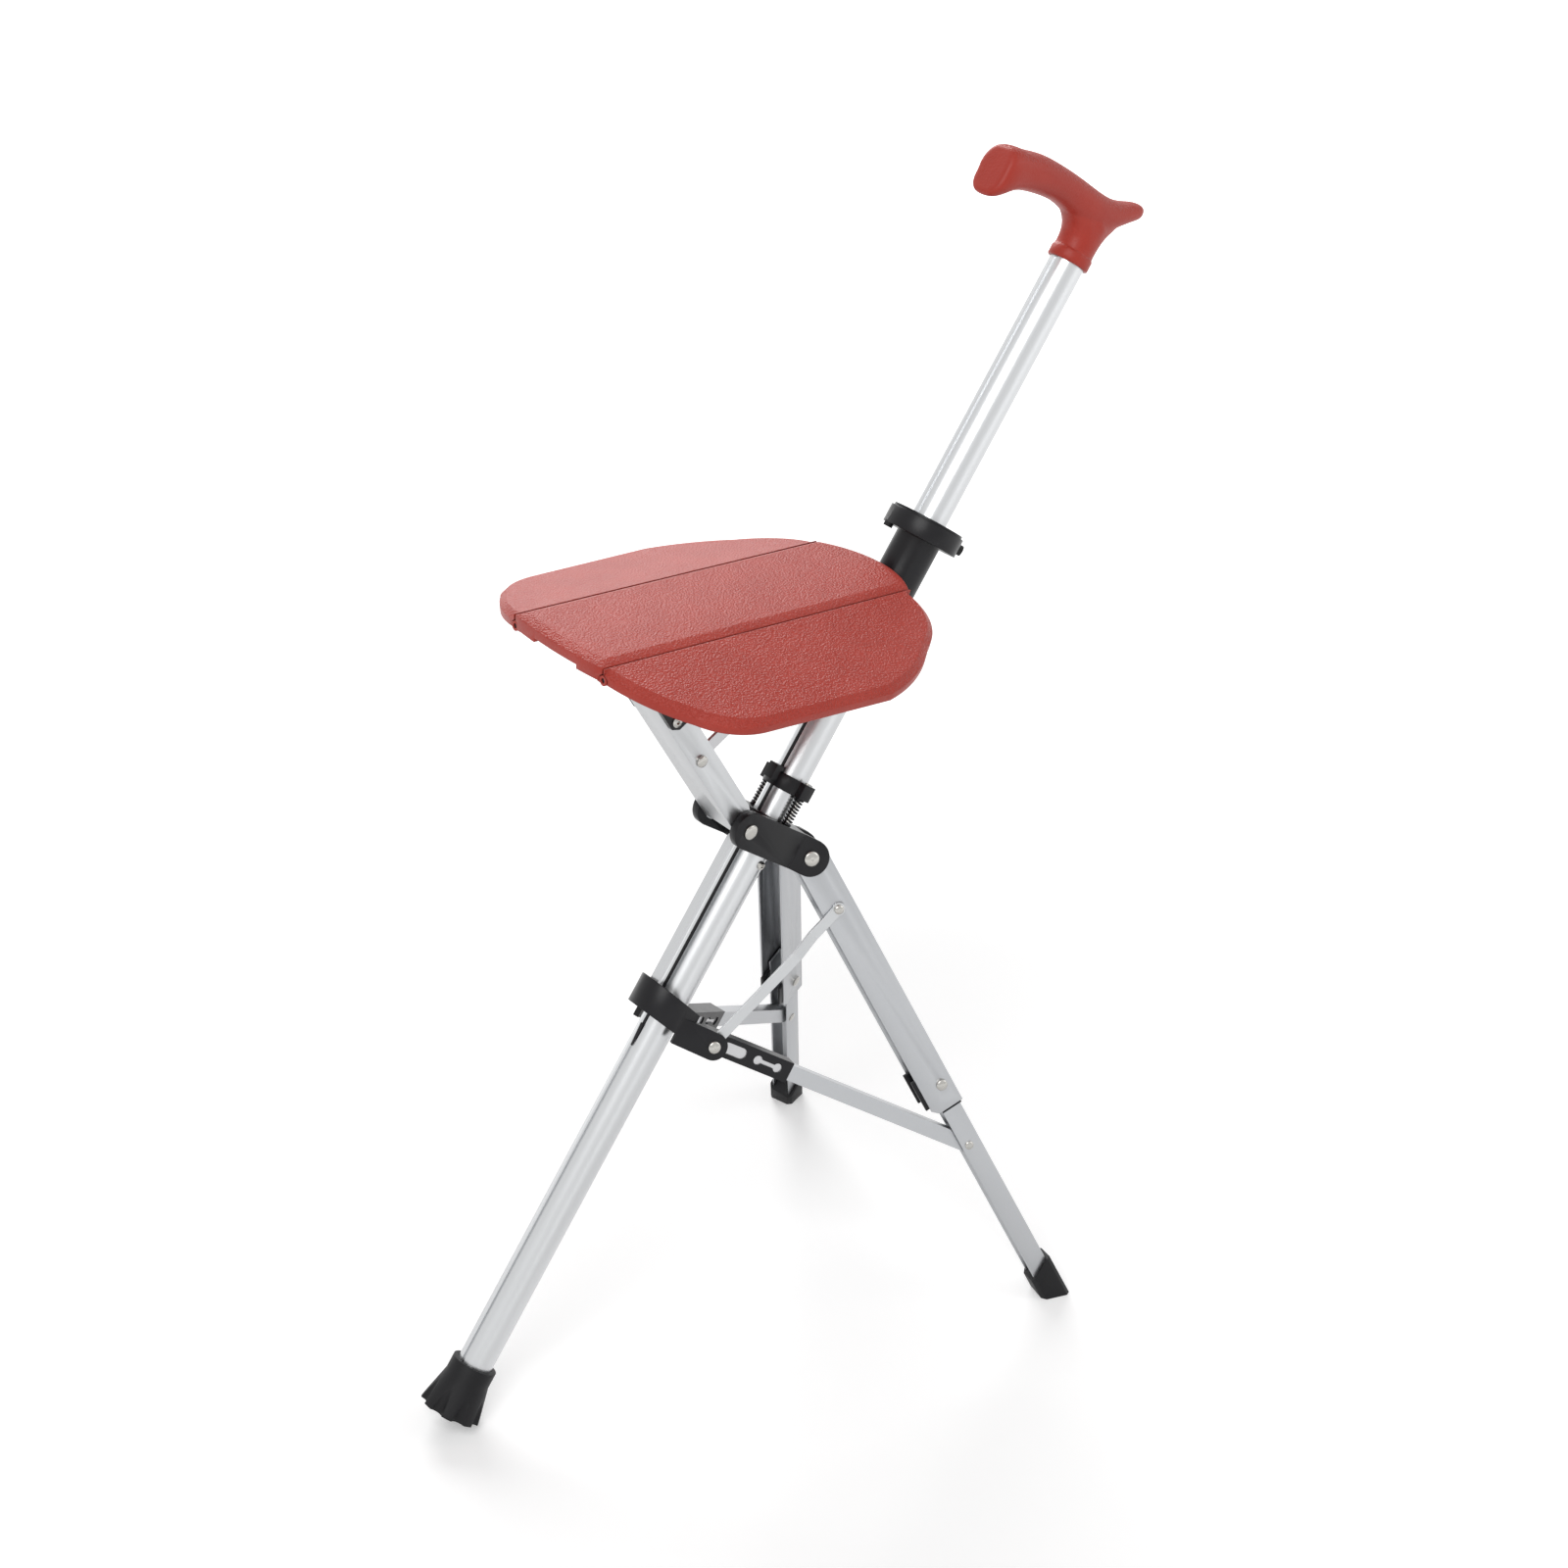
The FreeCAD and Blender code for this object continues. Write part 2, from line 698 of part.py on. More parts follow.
def foot():
    wall = foot_wall
    boot = block(
        -lower_inner_edge - wall, lower_web_edge + wall + 0.8,
        -lower_half_width - wall, lower_half_width + wall,
        -leg_length - 20, -leg_length + foot_length,
    )
    corners = [edge for edge in boot.Edges if edge.BoundBox.ZLength > foot_length]
    boot = boot.makeChamfer(foot_corner, corners)
    slope = side_profile((
        (-20, -leg_length + foot_length + 1), (lower_web_edge, -leg_length + foot_length + 1),
        (lower_web_edge, -leg_length + foot_length),
        (-lower_inner_edge - wall, -leg_length + foot_length - 8.5),
        (-20, -leg_length + foot_length - 8.5),
    ), -40, 40)
    boot = above_floor(boot.cut(slope), 0.0)
    return boot.cut(leg_lower()).removeSplitter()


def leg_rivets():
    knee = domed_head(rivet_head_radius, head_height, upper_half_width, knee_rivet_offset, -knee_rivet_at)
    shank_span = (lower_half_width, upper_half_width)
    knee_shank = crosswise(rivet_radius, *shank_span, knee_rivet_offset, -knee_rivet_at)
    bar = domed_head(rivet_head_radius - 0.8, head_height * 0.7, lower_half_width, 1.0, -bar_pin_at)
    solids = []
    for head in (knee.fuse(knee_shank).removeSplitter(), bar):
        solids += [head, mirrored(head)]
    return group(solids)


def rivet_holes():
    return crosswise(rivet_radius, lower_half_width, 20, knee_rivet_offset, -knee_rivet_at)


def placed_leg(shape):
    return moved(shape, LEG)


# Leg links

link_angle_deg = math.degrees(math.atan2(link_top[1] - slider_station, link_top[0] - leg_pin_reach))
LINK = LEG_PLANE.multiply(frame((leg_pin_reach, 0, slider_station), Y_AXIS, -link_angle_deg))


def leg_link():
    inner = link_inner
    low_inner = slider_link_inner
    bend_start = 0.66 * link_length
    bend_end = 0.80 * link_length
    points = (
        (-8, low_inner), (bend_start, low_inner), (bend_end, inner), (link_length + 8, inner),
        (link_length + 8, inner + link_thickness), (bend_end, inner + link_thickness),
        (bend_start, low_inner + link_thickness), (-8, low_inner + link_thickness),
    )
    outline = [V(x, y, -10) for x, y in points]
    stock = Part.Face(Part.makePolygon(outline + outline[:1])).extrude(V(0, 0, 20))
    strap = rounded_bar(0, 0, link_length, 0, link_half_width, inner - 1, low_inner + 4)
    eyes = [crosswise(link_eye_radius, inner - 1, low_inner + 4, x, 0) for x in (0, link_length)]
    strap = strap.fuse(eyes)
    strap = stock.common(strap)
    return strap.cut(crosswise(slider_pin_radius + pin_fit, 0, 20, 0, 0)).cut(link_rivet()).removeSplitter()


def link_rivet():
    face = link_inner + link_thickness
    shank = crosswise(rivet_radius, link_inner, face, link_length, 0)
    return shank.fuse(domed_head(rivet_head_radius - 0.6, head_height, face, link_length, 0)).removeSplitter()


# Leg bar and guide, local x from the slider pin toward the bar's rivet on the leg

def leg_bar():
    start = bar_span - bar_length
    end = bar_span
    outer = block(start, end, -bar_half_width, bar_half_width, -bar_half_height, bar_half_height)
    outer = outer.fuse(crosswise(bar_half_height, -bar_half_width, bar_half_width, end, 0))
    inside_y = bar_half_width - bar_wall
    inside_z = bar_half_height - bar_wall
    hollow = block(start - 1, end - 4, -inside_y, inside_y, -inside_z, inside_z)
    return outer.cut(hollow).removeSplitter()


def guide_bore(gap, start, end):
    wide = bar_half_width + 0.1 + gap
    tall = bar_half_height + 0.1 + gap
    return block(start, end, -wide, wide, -tall, tall)


def guide():
    wide = guide_half_width
    tall = guide_half_height
    body = block(0, guide_reach, -wide, wide, -tall, tall).fuse(crosswise(tall, -wide, wide, 0, 0))
    oval = rounded_bar(14, 0, 24, 0, 3.6, -20, 20)
    neck = rounded_bar(36, 0, 50, 0, 1.3, -20, 20)
    ends = [crosswise(3.0, -20, 20, x, 0) for x in (36, 50)]
    pin = crosswise(slider_pin_radius + pin_fit, -20, 20, 0, 0)
    liner = guide_bore(guide_liner_thickness, 8, guide_reach - 2)
    return body.cut([guide_bore(0, -20, guide_reach + 1), liner, oval, neck, pin] + ends).removeSplitter()


def guide_liner():
    # Thin metal lining that shows as silver through the windows of the guide
    return guide_bore(guide_liner_thickness, 8, guide_reach - 2).cut(guide_bore(0, 0, guide_reach))


# Seat arm, local z up the arm, x toward the shaft when folded

def seat_arm():
    front = -arm_web_offset
    back = arm_depth - arm_web_offset
    top = arm_to_seat_pivot - 12.0
    inside = arm_half_width - arm_wall
    outer = block(front, back, -arm_half_width, arm_half_width, 0, top)
    foot_round = crosswise(arm_web_offset, -arm_half_width, arm_half_width, 0, 0)
    tip = rounded_bar(0, top - 14, 0, arm_to_seat_pivot, 7.5, -arm_half_width, arm_half_width)
    body = outer.fuse([foot_round, tip])
    hollow = block(front + arm_wall, back + 1, -inside, inside, -20, arm_to_seat_pivot + 20)
    open_top = block(front - 1, back + 1, -inside, inside, top, arm_to_seat_pivot + 20)
    open_foot = block(front - 1, back + 1, -inside, inside, -20, 2)
    corner = side_profile(((back + 1, -1), (back + 1, 14), (back - 4, -1)), -20, 20)
    holes = [
        crosswise(arm_pin_radius + pin_fit, -20, 20, 0, 0),
        crosswise(pivot_pin_radius + pin_fit, -20, 20, 0, arm_to_seat_pivot),
        crosswise(rivet_radius + 0.5, -20, 20, 0, arm_brace_rivet_at),
    ]
    return body.cut([hollow, open_top, open_foot, corner] + holes).removeSplitter()


def arm_blocks():
    low = arm_block_at - arm_block_below
    high = arm_block_at + arm_block_above
    back = arm_depth - arm_web_offset
    pad = block(-6, back + 3, arm_half_width, arm_half_width + cheek_thickness, low, high)
    pad = pad.makeChamfer(4.0, [edge for edge in pad.Edges if abs(edge.Length - cheek_thickness) < 0.01])
    lap = block(back, back + 3, arm_half_width - 3, arm_half_width + 1, low + 3, high - 3)
    return both_sides(pad.fuse(lap).cut(arm_screw(arm_half_width)).removeSplitter())


def arm_screw(start):
    face = arm_half_width + cheek_thickness
    shank = crosswise(1.6, start, face, -1.0, arm_block_at)
    head = domed_head(3.2, head_height, face, -1.0, arm_block_at)
    return shank.fuse(head).cut(crosswise(1.2, face + 0.6, face + 3, -1.0, arm_block_at)).removeSplitter()


def arm_screws():
    return both_sides(arm_screw(arm_half_width))


def brace_rivet():
    return through_pin(rivet_radius + 0.5, arm_half_width, 0, arm_brace_rivet_at, rivet_head_radius)


brace_angle_deg = math.degrees(math.atan2(shoe_x - brace_foot_x, shoe_z - brace_foot_z))
BRACE = frame((brace_foot_x, 0, brace_foot_z), Y_AXIS, brace_angle_deg)
bracket_inner = bracket_half_width - bracket_wall
brace_outer = bracket_inner - 0.5
brace_inner = brace_outer - 2.0


def brace_bars():
    strap = rounded_bar(0, 0, 0, brace_length, 3.8, brace_inner, brace_outer)
    eye = crosswise(rivet_radius + 0.5 + pin_fit, 0, 20, 0, 0)
    return both_sides(strap.cut([eye, crosswise(2.0, 0, 20, 0, brace_length)]).removeSplitter())


def brace_shoe_pin():
    return crosswise(2.0, -brace_outer, brace_outer, 0, brace_length)


# Seat

pivot_in_seat = in_seat(seat_pivot_x, seat_pivot_z)
sleeve_in_seat = in_seat(sleeve_pivot_x, sleeve_pivot_z)
shoe_in_seat = in_seat(shoe_x, shoe_z)
hinge_y = seat_half_width + panel_gap / 2
knuckle_count = 7
knuckle_step = seat_length / knuckle_count


def bevelled_plate(outline, crown, inset, drop, thickness):
    # Plate from crown above z = 0 down to -thickness, with a bevel round its top edge
    lower = outline(0)
    lower.translate(V(0, 0, crown - drop))
    upper = outline(inset)
    upper.translate(V(0, 0, crown))
    slab = Part.Face(lower).extrude(V(0, 0, drop - crown - thickness))
    return slab.fuse(Part.makeLoft([lower, upper], True, True)).removeSplitter()


def centre_outline(inset):
    half = seat_half_width - inset
    back = -inset
    nose = inset - seat_length
    rear = Part.Arc(V(back, -half, 0), V(back + seat_rear_bulge, 0, 0), V(back, half, 0)).toShape()
    far = Part.LineSegment(V(back, half, 0), V(nose, half, 0)).toShape()
    front = Part.Arc(V(nose, half, 0), V(nose - 2.5, 0, 0), V(nose, -half, 0)).toShape()
    near = Part.LineSegment(V(nose, -half, 0), V(back, -half, 0)).toShape()
    return Part.Wire([rear, far, front, near])


def wing_outline(inset):
    # Local x as the seat, y outward from the hinge axis
    wide = wing_width
    spots = [V(0, 0, 0), V(-6, 0.36 * wide, 0), V(-24, 0.615 * wide, 0)]
    spots += [V(-44, 0.83 * wide, 0), V(-74, 0.99 * wide, 0)]
    nose = -seat_length
    spots += [V(nose + 59, 0.955 * wide, 0), V(nose + 38, 0.87 * wide, 0), V(nose + 25, 0.69 * wide, 0)]
    spots += [V(nose + 9, 0.345 * wide, 0), V(nose, 0, 0)]
    along = 1 - 2 * inset / seat_length
    across = 1 - inset / wide
    spots = [V(spot.x * along - inset, spot.y * across, 0) for spot in spots]
    edges = [
        Part.Arc(spots[0], spots[1], spots[2]).toShape(),
        Part.Arc(spots[2], spots[3], spots[4]).toShape(),
        Part.LineSegment(spots[4], spots[5]).toShape(),
        Part.Arc(spots[5], spots[6], spots[7]).toShape(),
        Part.Arc(spots[7], spots[8], spots[9]).toShape(),
        Part.LineSegment(spots[9], spots[0]).toShape(),
    ]
    return Part.Wire(edges)


def knuckle(index, hole, toward):
    # One hinge barrel on the local x axis with a short web toward the panel it belongs to
    start = -(index + 1) * knuckle_step + 0.25
    end = -index * knuckle_step - 0.25
    barrel = Part.makeCylinder(wing_knuckle_radius, end - start, V(start, 0, 0), X_AXIS)
    reach = wing_knuckle_radius + 2.0
    low, high = (0, reach) if toward > 0 else (-reach, 0)
    web = block(start, end, low, high, -1.9, 1.9)
    return barrel.fuse(web).cut(Part.makeCylinder(hole, end - start + 2, V(start - 1, 0, 0), X_AXIS))


def hinge_relief():
    return Part.makeCylinder(wing_knuckle_radius + 0.5, seat_length + 40, V(-seat_length - 20, 0, 0), X_AXIS)


HINGE = frame((0, hinge_y, -wing_hinge_depth), X_AXIS, 0)
WING = HINGE.multiply(frame((0, 0, 0), X_AXIS, -wing_droop_deg))


def centre_panel():
    plate = bevelled_plate(centre_outline, seat_crown, seat_bevel, seat_crown, seat_thickness)
    pocket = Part.Face(centre_outline(0).makeOffset2D(-seat_rim)).extrude(V(0, 0, seat_skin - seat_thickness))
    pocket.translate(V(0, 0, -seat_skin))
    low = -seat_thickness
    notch_half = bracket_half_width + 3
    front_notch = block(-seat_length - 10, -seat_length + 10, -20, 20, low - 1, low + 2.5)
    rear_notch = block(-20, 20, -notch_half, notch_half, low - 1, -seat_skin)
    relief = moved(hinge_relief(), HINGE)
    plate = plate.cut([pocket, front_notch, rear_notch, relief, mirrored(relief)])
    ribs = []
    for index in range(3):
        x = -seat_rib_first - index * seat_rib_step
        span = (bracket_half_width + 2, seat_half_width - 5)
        ribs += [block(x - 1.5, x + 1.5, *span, low + 1.5, -seat_skin)]
    barrels = [moved(knuckle(index, hinge_rod_radius, -1), HINGE) for index in range(0, knuckle_count, 2)]
    extra = ribs + barrels
    return plate.fuse(extra + [mirrored(piece) for piece in extra]).removeSplitter()


def hinge_rods():
    rod = Part.makeCylinder(hinge_rod_radius, seat_length - 1.5, V(-seat_length + 1.0, 0, 0), X_AXIS)
    return both_sides(moved(rod, HINGE))


def wing():
    up = frame((0, 0, wing_hinge_depth), X_AXIS, 0)
    plate = bevelled_plate(wing_outline, 0.0, 4.0, 3.5, seat_thickness)
    inner = wing_outline(0).makeOffset2D(-seat_rim - 1.0)
    pocket = Part.Face(inner).extrude(V(0, 0, seat_skin - seat_thickness))
    pocket.translate(V(0, 0, -seat_skin))
    filler = block(-seat_length, 0, -4, 0, -seat_thickness, 0)
    plate = moved(plate.cut(pocket).fuse(filler), up)
    plate = moved(plate, WING)
    beyond = 2 * wing_width
    start = hinge_y + panel_gap / 2
    plate = plate.common(block(-seat_length - 40, 40, start, start + beyond, -beyond, beyond))
    relief = moved(hinge_relief(), HINGE)
    hole = hinge_rod_radius + pin_fit
    barrels = [moved(knuckle(index, hole, 1), WING) for index in range(1, knuckle_count, 2)]
    return plate.cut(relief).fuse(barrels).removeSplitter()


def seat_bracket():
    pivot_x, pivot_z = pivot_in_seat
    hinge_x, hinge_z = sleeve_in_seat
    shoe_x_seat, shoe_z_seat = shoe_in_seat
    wall = bracket_wall
    eye = 6.5
    side = rounded_bar(pivot_x, pivot_z, hinge_x, hinge_z, eye, bracket_inner, bracket_half_width)
    upper = side_profile((
        (pivot_x - eye, -seat_skin), (hinge_x + eye, -seat_skin),
        (hinge_x + eye, hinge_z), (pivot_x - eye, pivot_z),
    ), bracket_inner, bracket_half_width)
    side = side.fuse(upper)
    run = rounded_bar(
        pivot_x + 0.2 * (shoe_x_seat - pivot_x), pivot_z + 0.2 * (shoe_z_seat - pivot_z),
        shoe_x_seat, shoe_z_seat, 2.3, 0, 20,
    )
    side = side.cut(run)
    half = bracket_half_width
    top = block(pivot_x - eye, hinge_x + eye, -half, half, -seat_skin - wall, -seat_skin)
    body = top.fuse([side, mirrored(side)])
    return body.cut([seat_pivot_pins(), sleeve_hinge_pin()]).removeSplitter()


def seat_pivot_pins():
    # Two short pins, so that the brace can pass between them when folded
    end = arm_half_width + 0.1
    pin = crosswise(pivot_pin_radius, bracket_inner, end, *pivot_in_seat)
    head = domed_head(head_radius - 0.6, head_height, end, *pivot_in_seat)
    return both_sides(pin.fuse(head).removeSplitter())


def sleeve_hinge_pin():
    return through_pin(pivot_pin_radius, bracket_half_width, *sleeve_in_seat, head_radius - 0.6)


def bracket_screws():
    screws = []
    for index in range(3):
        x = -bracket_screw_first - index * bracket_screw_step
        for y in (-bracket_screw_side, bracket_screw_side):
            shank = upright(1.2, -seat_skin - bracket_wall, -1.6, x, y)
            head = upright(2.6, -seat_skin - bracket_wall - 1.4, -seat_skin - bracket_wall, x, y)
            screws.append(shank.fuse(head).removeSplitter())
    return group(screws)


# Sleeve

def sleeve():
    tube = upright(sleeve_radius, sleeve_bottom, sleeve_top)
    rim = upright(flange_radius, sleeve_top, sleeve_top + flange_thickness)
    ear = rounded_bar(
        -sleeve_radius + 2, sleeve_pivot_z, sleeve_pivot_x, sleeve_pivot_z, 6.5,
        hinge_ear_half_width - 3.6, hinge_ear_half_width,
    )
    ear = ear.fuse(block(
        -sleeve_radius + 1, -6, 0, hinge_ear_half_width, sleeve_pivot_z - 6.5, sleeve_pivot_z + 6.5,
    ))
    hook = block(-22.5, -18.5, 6, 10, sleeve_top - 2.5, sleeve_top + 1)
    body = tube.fuse([rim, ear, mirrored(ear), hook]).cut(button_recess())
    bore = upright(bore_radius, sleeve_bottom - 1, sleeve_top + 20)
    bore = bore.fuse(upright(bore_radius, sleeve_bottom - 1, sleeve_top + 20, sleeve_rear_ease - 0.8))
    eye = crosswise(pivot_pin_radius + pin_fit, -30, 30, sleeve_pivot_x, sleeve_pivot_z)
    return body.cut([bore, eye, button_bore()]).removeSplitter()


def flange_plate_piece():
    low = sleeve_top + flange_thickness
    plate = upright(flange_radius - 1.5, low, low + flange_plate)
    bore = upright(bore_radius, low - 1, low + 5)
    bore = bore.fuse(upright(bore_radius, low - 1, low + 5, sleeve_rear_ease - 0.8))
    return plate.cut(bore)


BUTTON = frame((0, 0, sleeve_top + flange_thickness / 2), Z_AXIS, -30)


def button_rod(radius, start, end):
    return moved(Part.makeCylinder(radius, end - start, V(start, 0, 0), X_AXIS), BUTTON)


def button_recess():
    # Slot in the rim that the button's barrel moves in
    size = button_radius + 1.0
    return moved(block(button_end - 8.5, flange_radius + 5, -size, size, -size, size), BUTTON)


def button_bore():
    return button_rod(button_radius * 0.6 + pin_fit, sleeve_radius + 0.5, flange_radius + 10)


def release_button():
    cap_start = button_end - 8.5 + button_travel + 0.4
    stem = button_rod(button_radius * 0.6, sleeve_radius + 0.5 + button_travel + 0.3, button_end - 2)
    return stem.fuse(button_rod(button_radius, cap_start, button_end)).removeSplitter()


def main():
    os.makedirs("parts", exist_ok=True)
    save("shaft_tube", shaft_tube())
    save("handle", handle())
    save("ferrule", ferrule())
    save("ferrule_washer", ferrule_washer())
    save("hub", hub())
    save("arm_pin", arm_pin())
    save("leg_pins", leg_pins())
    save("hub_screws", hub_screws())
    save("spring_rods", spring_rods())
    save_pair("spring", compression_spring())
    save("spring_collar", spring_collar())
    save("slider", slider())
    save("slider_pins", slider_pins())
    save("groove_strip", groove_strip())
    save("push_bar", push_bar())
    upper = leg_upper().cut([rivet_holes(), mirrored(rivet_holes())])
    save_pair("leg_upper", placed_leg(upper))
    save_pair("leg_lower", placed_leg(leg_lower()))
    liner = knee_liner().cut([rivet_holes(), mirrored(rivet_holes())])
    save_pair("knee_liner", placed_leg(liner))
    save_pair("foot", placed_leg(foot()))
    save_pair("leg_rivets", placed_leg(leg_rivets()))
    save_pair("link", moved(leg_link(), LINK))
    save_pair("link_rivet", moved(link_rivet(), LINK))
    save_pair("leg_bar", moved(leg_bar(), GUIDE))
    save_pair("guide", moved(guide(), GUIDE))
    save_pair("guide_liner", moved(guide_liner(), GUIDE))
    save("seat_arm", moved(seat_arm(), ARM))
    save("arm_blocks", moved(arm_blocks(), ARM))
    save("arm_screws", moved(arm_screws(), ARM))
    save("brace_rivet", moved(brace_rivet(), ARM))
    save("brace_bars", moved(brace_bars(), BRACE))
    save("brace_shoe_pin", moved(brace_shoe_pin(), BRACE))
    panel = centre_panel().cut(bracket_screws())
    save("centre_panel", moved(panel, SEAT))
    save("hinge_rods", moved(hinge_rods(), SEAT))
    bracket = seat_bracket().cut(bracket_screws())
    save("seat_bracket", moved(bracket, SEAT))
    save("bracket_screws", moved(bracket_screws(), SEAT))
    save("seat_pivot_pins", moved(seat_pivot_pins(), SEAT))
    save("sleeve_hinge_pin", moved(sleeve_hinge_pin(), SEAT))
    save_pair("wing", moved(wing(), SEAT))
    save("sleeve", sleeve())
    save("flange_plate", flange_plate_piece())
    save("release_button", release_button())
    print("leg swing", round(leg_swing_deg, 3), "slider travel", round(slider_travel, 3))
    print("bar travel", round(bar_travel, 3), "guide angle", round(guide_angle_deg, 3))
    print("sleeve travel", round(sleeve_travel, 3), "seat strut", round(seat_strut, 3))
    print("least gap of a spring to itself", round(spring_self_gap(), 3))


main()
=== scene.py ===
# %% [markdown]
# # A folding walking stick seat
# The stick leans to the rear, two channel legs spread from a black hub, and a seat
# of three red panels opens on top. The solids come from the CAD frame, so every
# piece below is placed by the frame's own sizes and rides on the body that carries it.

# %% Load the frame
import bpy
import bmesh
import json
import math
from mathutils import Matrix, Vector


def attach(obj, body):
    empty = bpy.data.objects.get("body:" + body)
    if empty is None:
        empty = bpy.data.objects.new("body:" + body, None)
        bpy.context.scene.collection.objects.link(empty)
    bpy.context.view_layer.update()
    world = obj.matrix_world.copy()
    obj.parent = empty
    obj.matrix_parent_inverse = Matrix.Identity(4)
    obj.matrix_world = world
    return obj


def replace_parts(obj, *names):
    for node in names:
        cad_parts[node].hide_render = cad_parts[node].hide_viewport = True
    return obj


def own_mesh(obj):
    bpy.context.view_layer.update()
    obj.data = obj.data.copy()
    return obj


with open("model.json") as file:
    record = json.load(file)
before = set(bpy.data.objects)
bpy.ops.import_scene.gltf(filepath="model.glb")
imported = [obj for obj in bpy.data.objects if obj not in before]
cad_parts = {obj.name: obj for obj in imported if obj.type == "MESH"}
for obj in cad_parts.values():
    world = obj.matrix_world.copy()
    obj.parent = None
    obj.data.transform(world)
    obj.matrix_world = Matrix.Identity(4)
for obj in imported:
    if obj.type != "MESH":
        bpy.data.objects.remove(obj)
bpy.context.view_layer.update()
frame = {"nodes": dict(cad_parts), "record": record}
nodes = frame["nodes"]

# %% [markdown]
# ## The stick's own frame
# Most pieces of a stick are easiest to describe along the shaft. This matrix turns
# shaft coordinates in millimetres (x to the rear, y to the far side, z up the shaft)
# into the scene's metres, so a piece can be drawn upright and then laid in its place.

# %% Shaft frame
LEAN = math.radians(37.3)
TIP_RIM = 19.5
TIP_PLACE = -0.25931
MILLIMETRE = 0.001
SHAFT = (Matrix.Translation((TIP_PLACE, 0, TIP_RIM * MILLIMETRE * math.sin(LEAN)))
         @ Matrix.Rotation(LEAN, 4, "Y") @ Matrix.Scale(MILLIMETRE, 4))


def along_shaft(x, y, z):
    return SHAFT @ Vector((x, y, z))


print("top of the shaft", along_shaft(0, 0, 800))

# %% [markdown]
# ## Camera
# The photograph looks down at about thirty degrees from the front and the near side.
# Its lens and place were worked out from points whose places on the object are known,
# such as the pins and the ends of the shaft, so the render can be laid over it.

# %% Camera at the photograph's viewing angle
TURN = math.radians(38.74)
DOWN = math.radians(29.99)
FOCAL_PIXELS = 2900.9
PHOTO_PIXELS = 1600
LOOK_AT = Vector((0.00169, 0, 0.35773))
DISTANCE = 1.70054
view_right = Vector((math.cos(TURN), -math.sin(TURN), 0))
view_into = Vector((
    math.sin(TURN) * math.cos(DOWN), math.cos(TURN) * math.cos(DOWN), -math.sin(DOWN)))
view_up = view_right.cross(view_into)
camera_data = bpy.data.cameras.new("camera")
camera_data.sensor_width = 36
camera_data.lens = FOCAL_PIXELS / PHOTO_PIXELS * camera_data.sensor_width
camera_data.clip_end = 50
camera = bpy.data.objects.new("camera", camera_data)
turn = Matrix((view_right, view_up, -view_into)).transposed().to_4x4()
camera.matrix_world = Matrix.Translation(LOOK_AT - view_into * DISTANCE) @ turn
bpy.context.scene.collection.objects.link(camera)
bpy.context.scene.camera = camera
bpy.context.scene.view_settings.view_transform = "Standard"
print("lens", round(camera_data.lens, 2))

# %% [markdown]
# ## Building materials from groups
# A finish is a Principled shader fed by small shared node groups: one for the moulded
# grain, one for the faint drawing lines of a metal, one for softened and rubbed edges.
# A group is built once, with named inputs, and placed in each material with its own values.

# %% Node helpers
def group_of(name, inputs, outputs):
    tree = bpy.data.node_groups.new(name, "ShaderNodeTree")
    for label, kind, value in inputs:
        socket = tree.interface.new_socket(
            name=label, in_out="INPUT", socket_type="NodeSocket" + kind)
        socket.default_value = value
    for label, kind in outputs:
        tree.interface.new_socket(name=label, in_out="OUTPUT", socket_type="NodeSocket" + kind)
    return tree, tree.nodes.new("NodeGroupInput"), tree.nodes.new("NodeGroupOutput")


def math_node(tree, kind, *values):
    node = tree.nodes.new("ShaderNodeMath")
    node.operation = kind
    for index, value in enumerate(values):
        if isinstance(value, (int, float)):
            node.inputs[index].default_value = value
        else:
            tree.links.new(value, node.inputs[index])
    return node.outputs[0]


def ramp(tree, value, low, high, to_low=0.0, to_high=1.0):
    node = tree.nodes.new("ShaderNodeMapRange")
    tree.links.new(value, node.inputs["Value"])
    node.inputs["From Min"].default_value = low
    node.inputs["From Max"].default_value = high
    node.inputs["To Min"].default_value = to_low
    node.inputs["To Max"].default_value = to_high
    return node.outputs["Result"]


def noise(tree, vector, scale, detail):
    node = tree.nodes.new("ShaderNodeTexNoise")
    tree.links.new(vector, node.inputs["Vector"])
    if isinstance(scale, (int, float)):
        node.inputs["Scale"].default_value = scale
    else:
        tree.links.new(scale, node.inputs["Scale"])
    node.inputs["Detail"].default_value = detail
    return node.outputs["Fac"]


# %% [markdown]
# ### Leather-like grain
# The seat and the grip are moulded with a fine pebbled grain, like the skin of a
# leather bag: small rounded cells with creases between them. A Voronoi pattern gives the
# cells, a noise bends its lines, and a second, larger noise lets the depth wander.

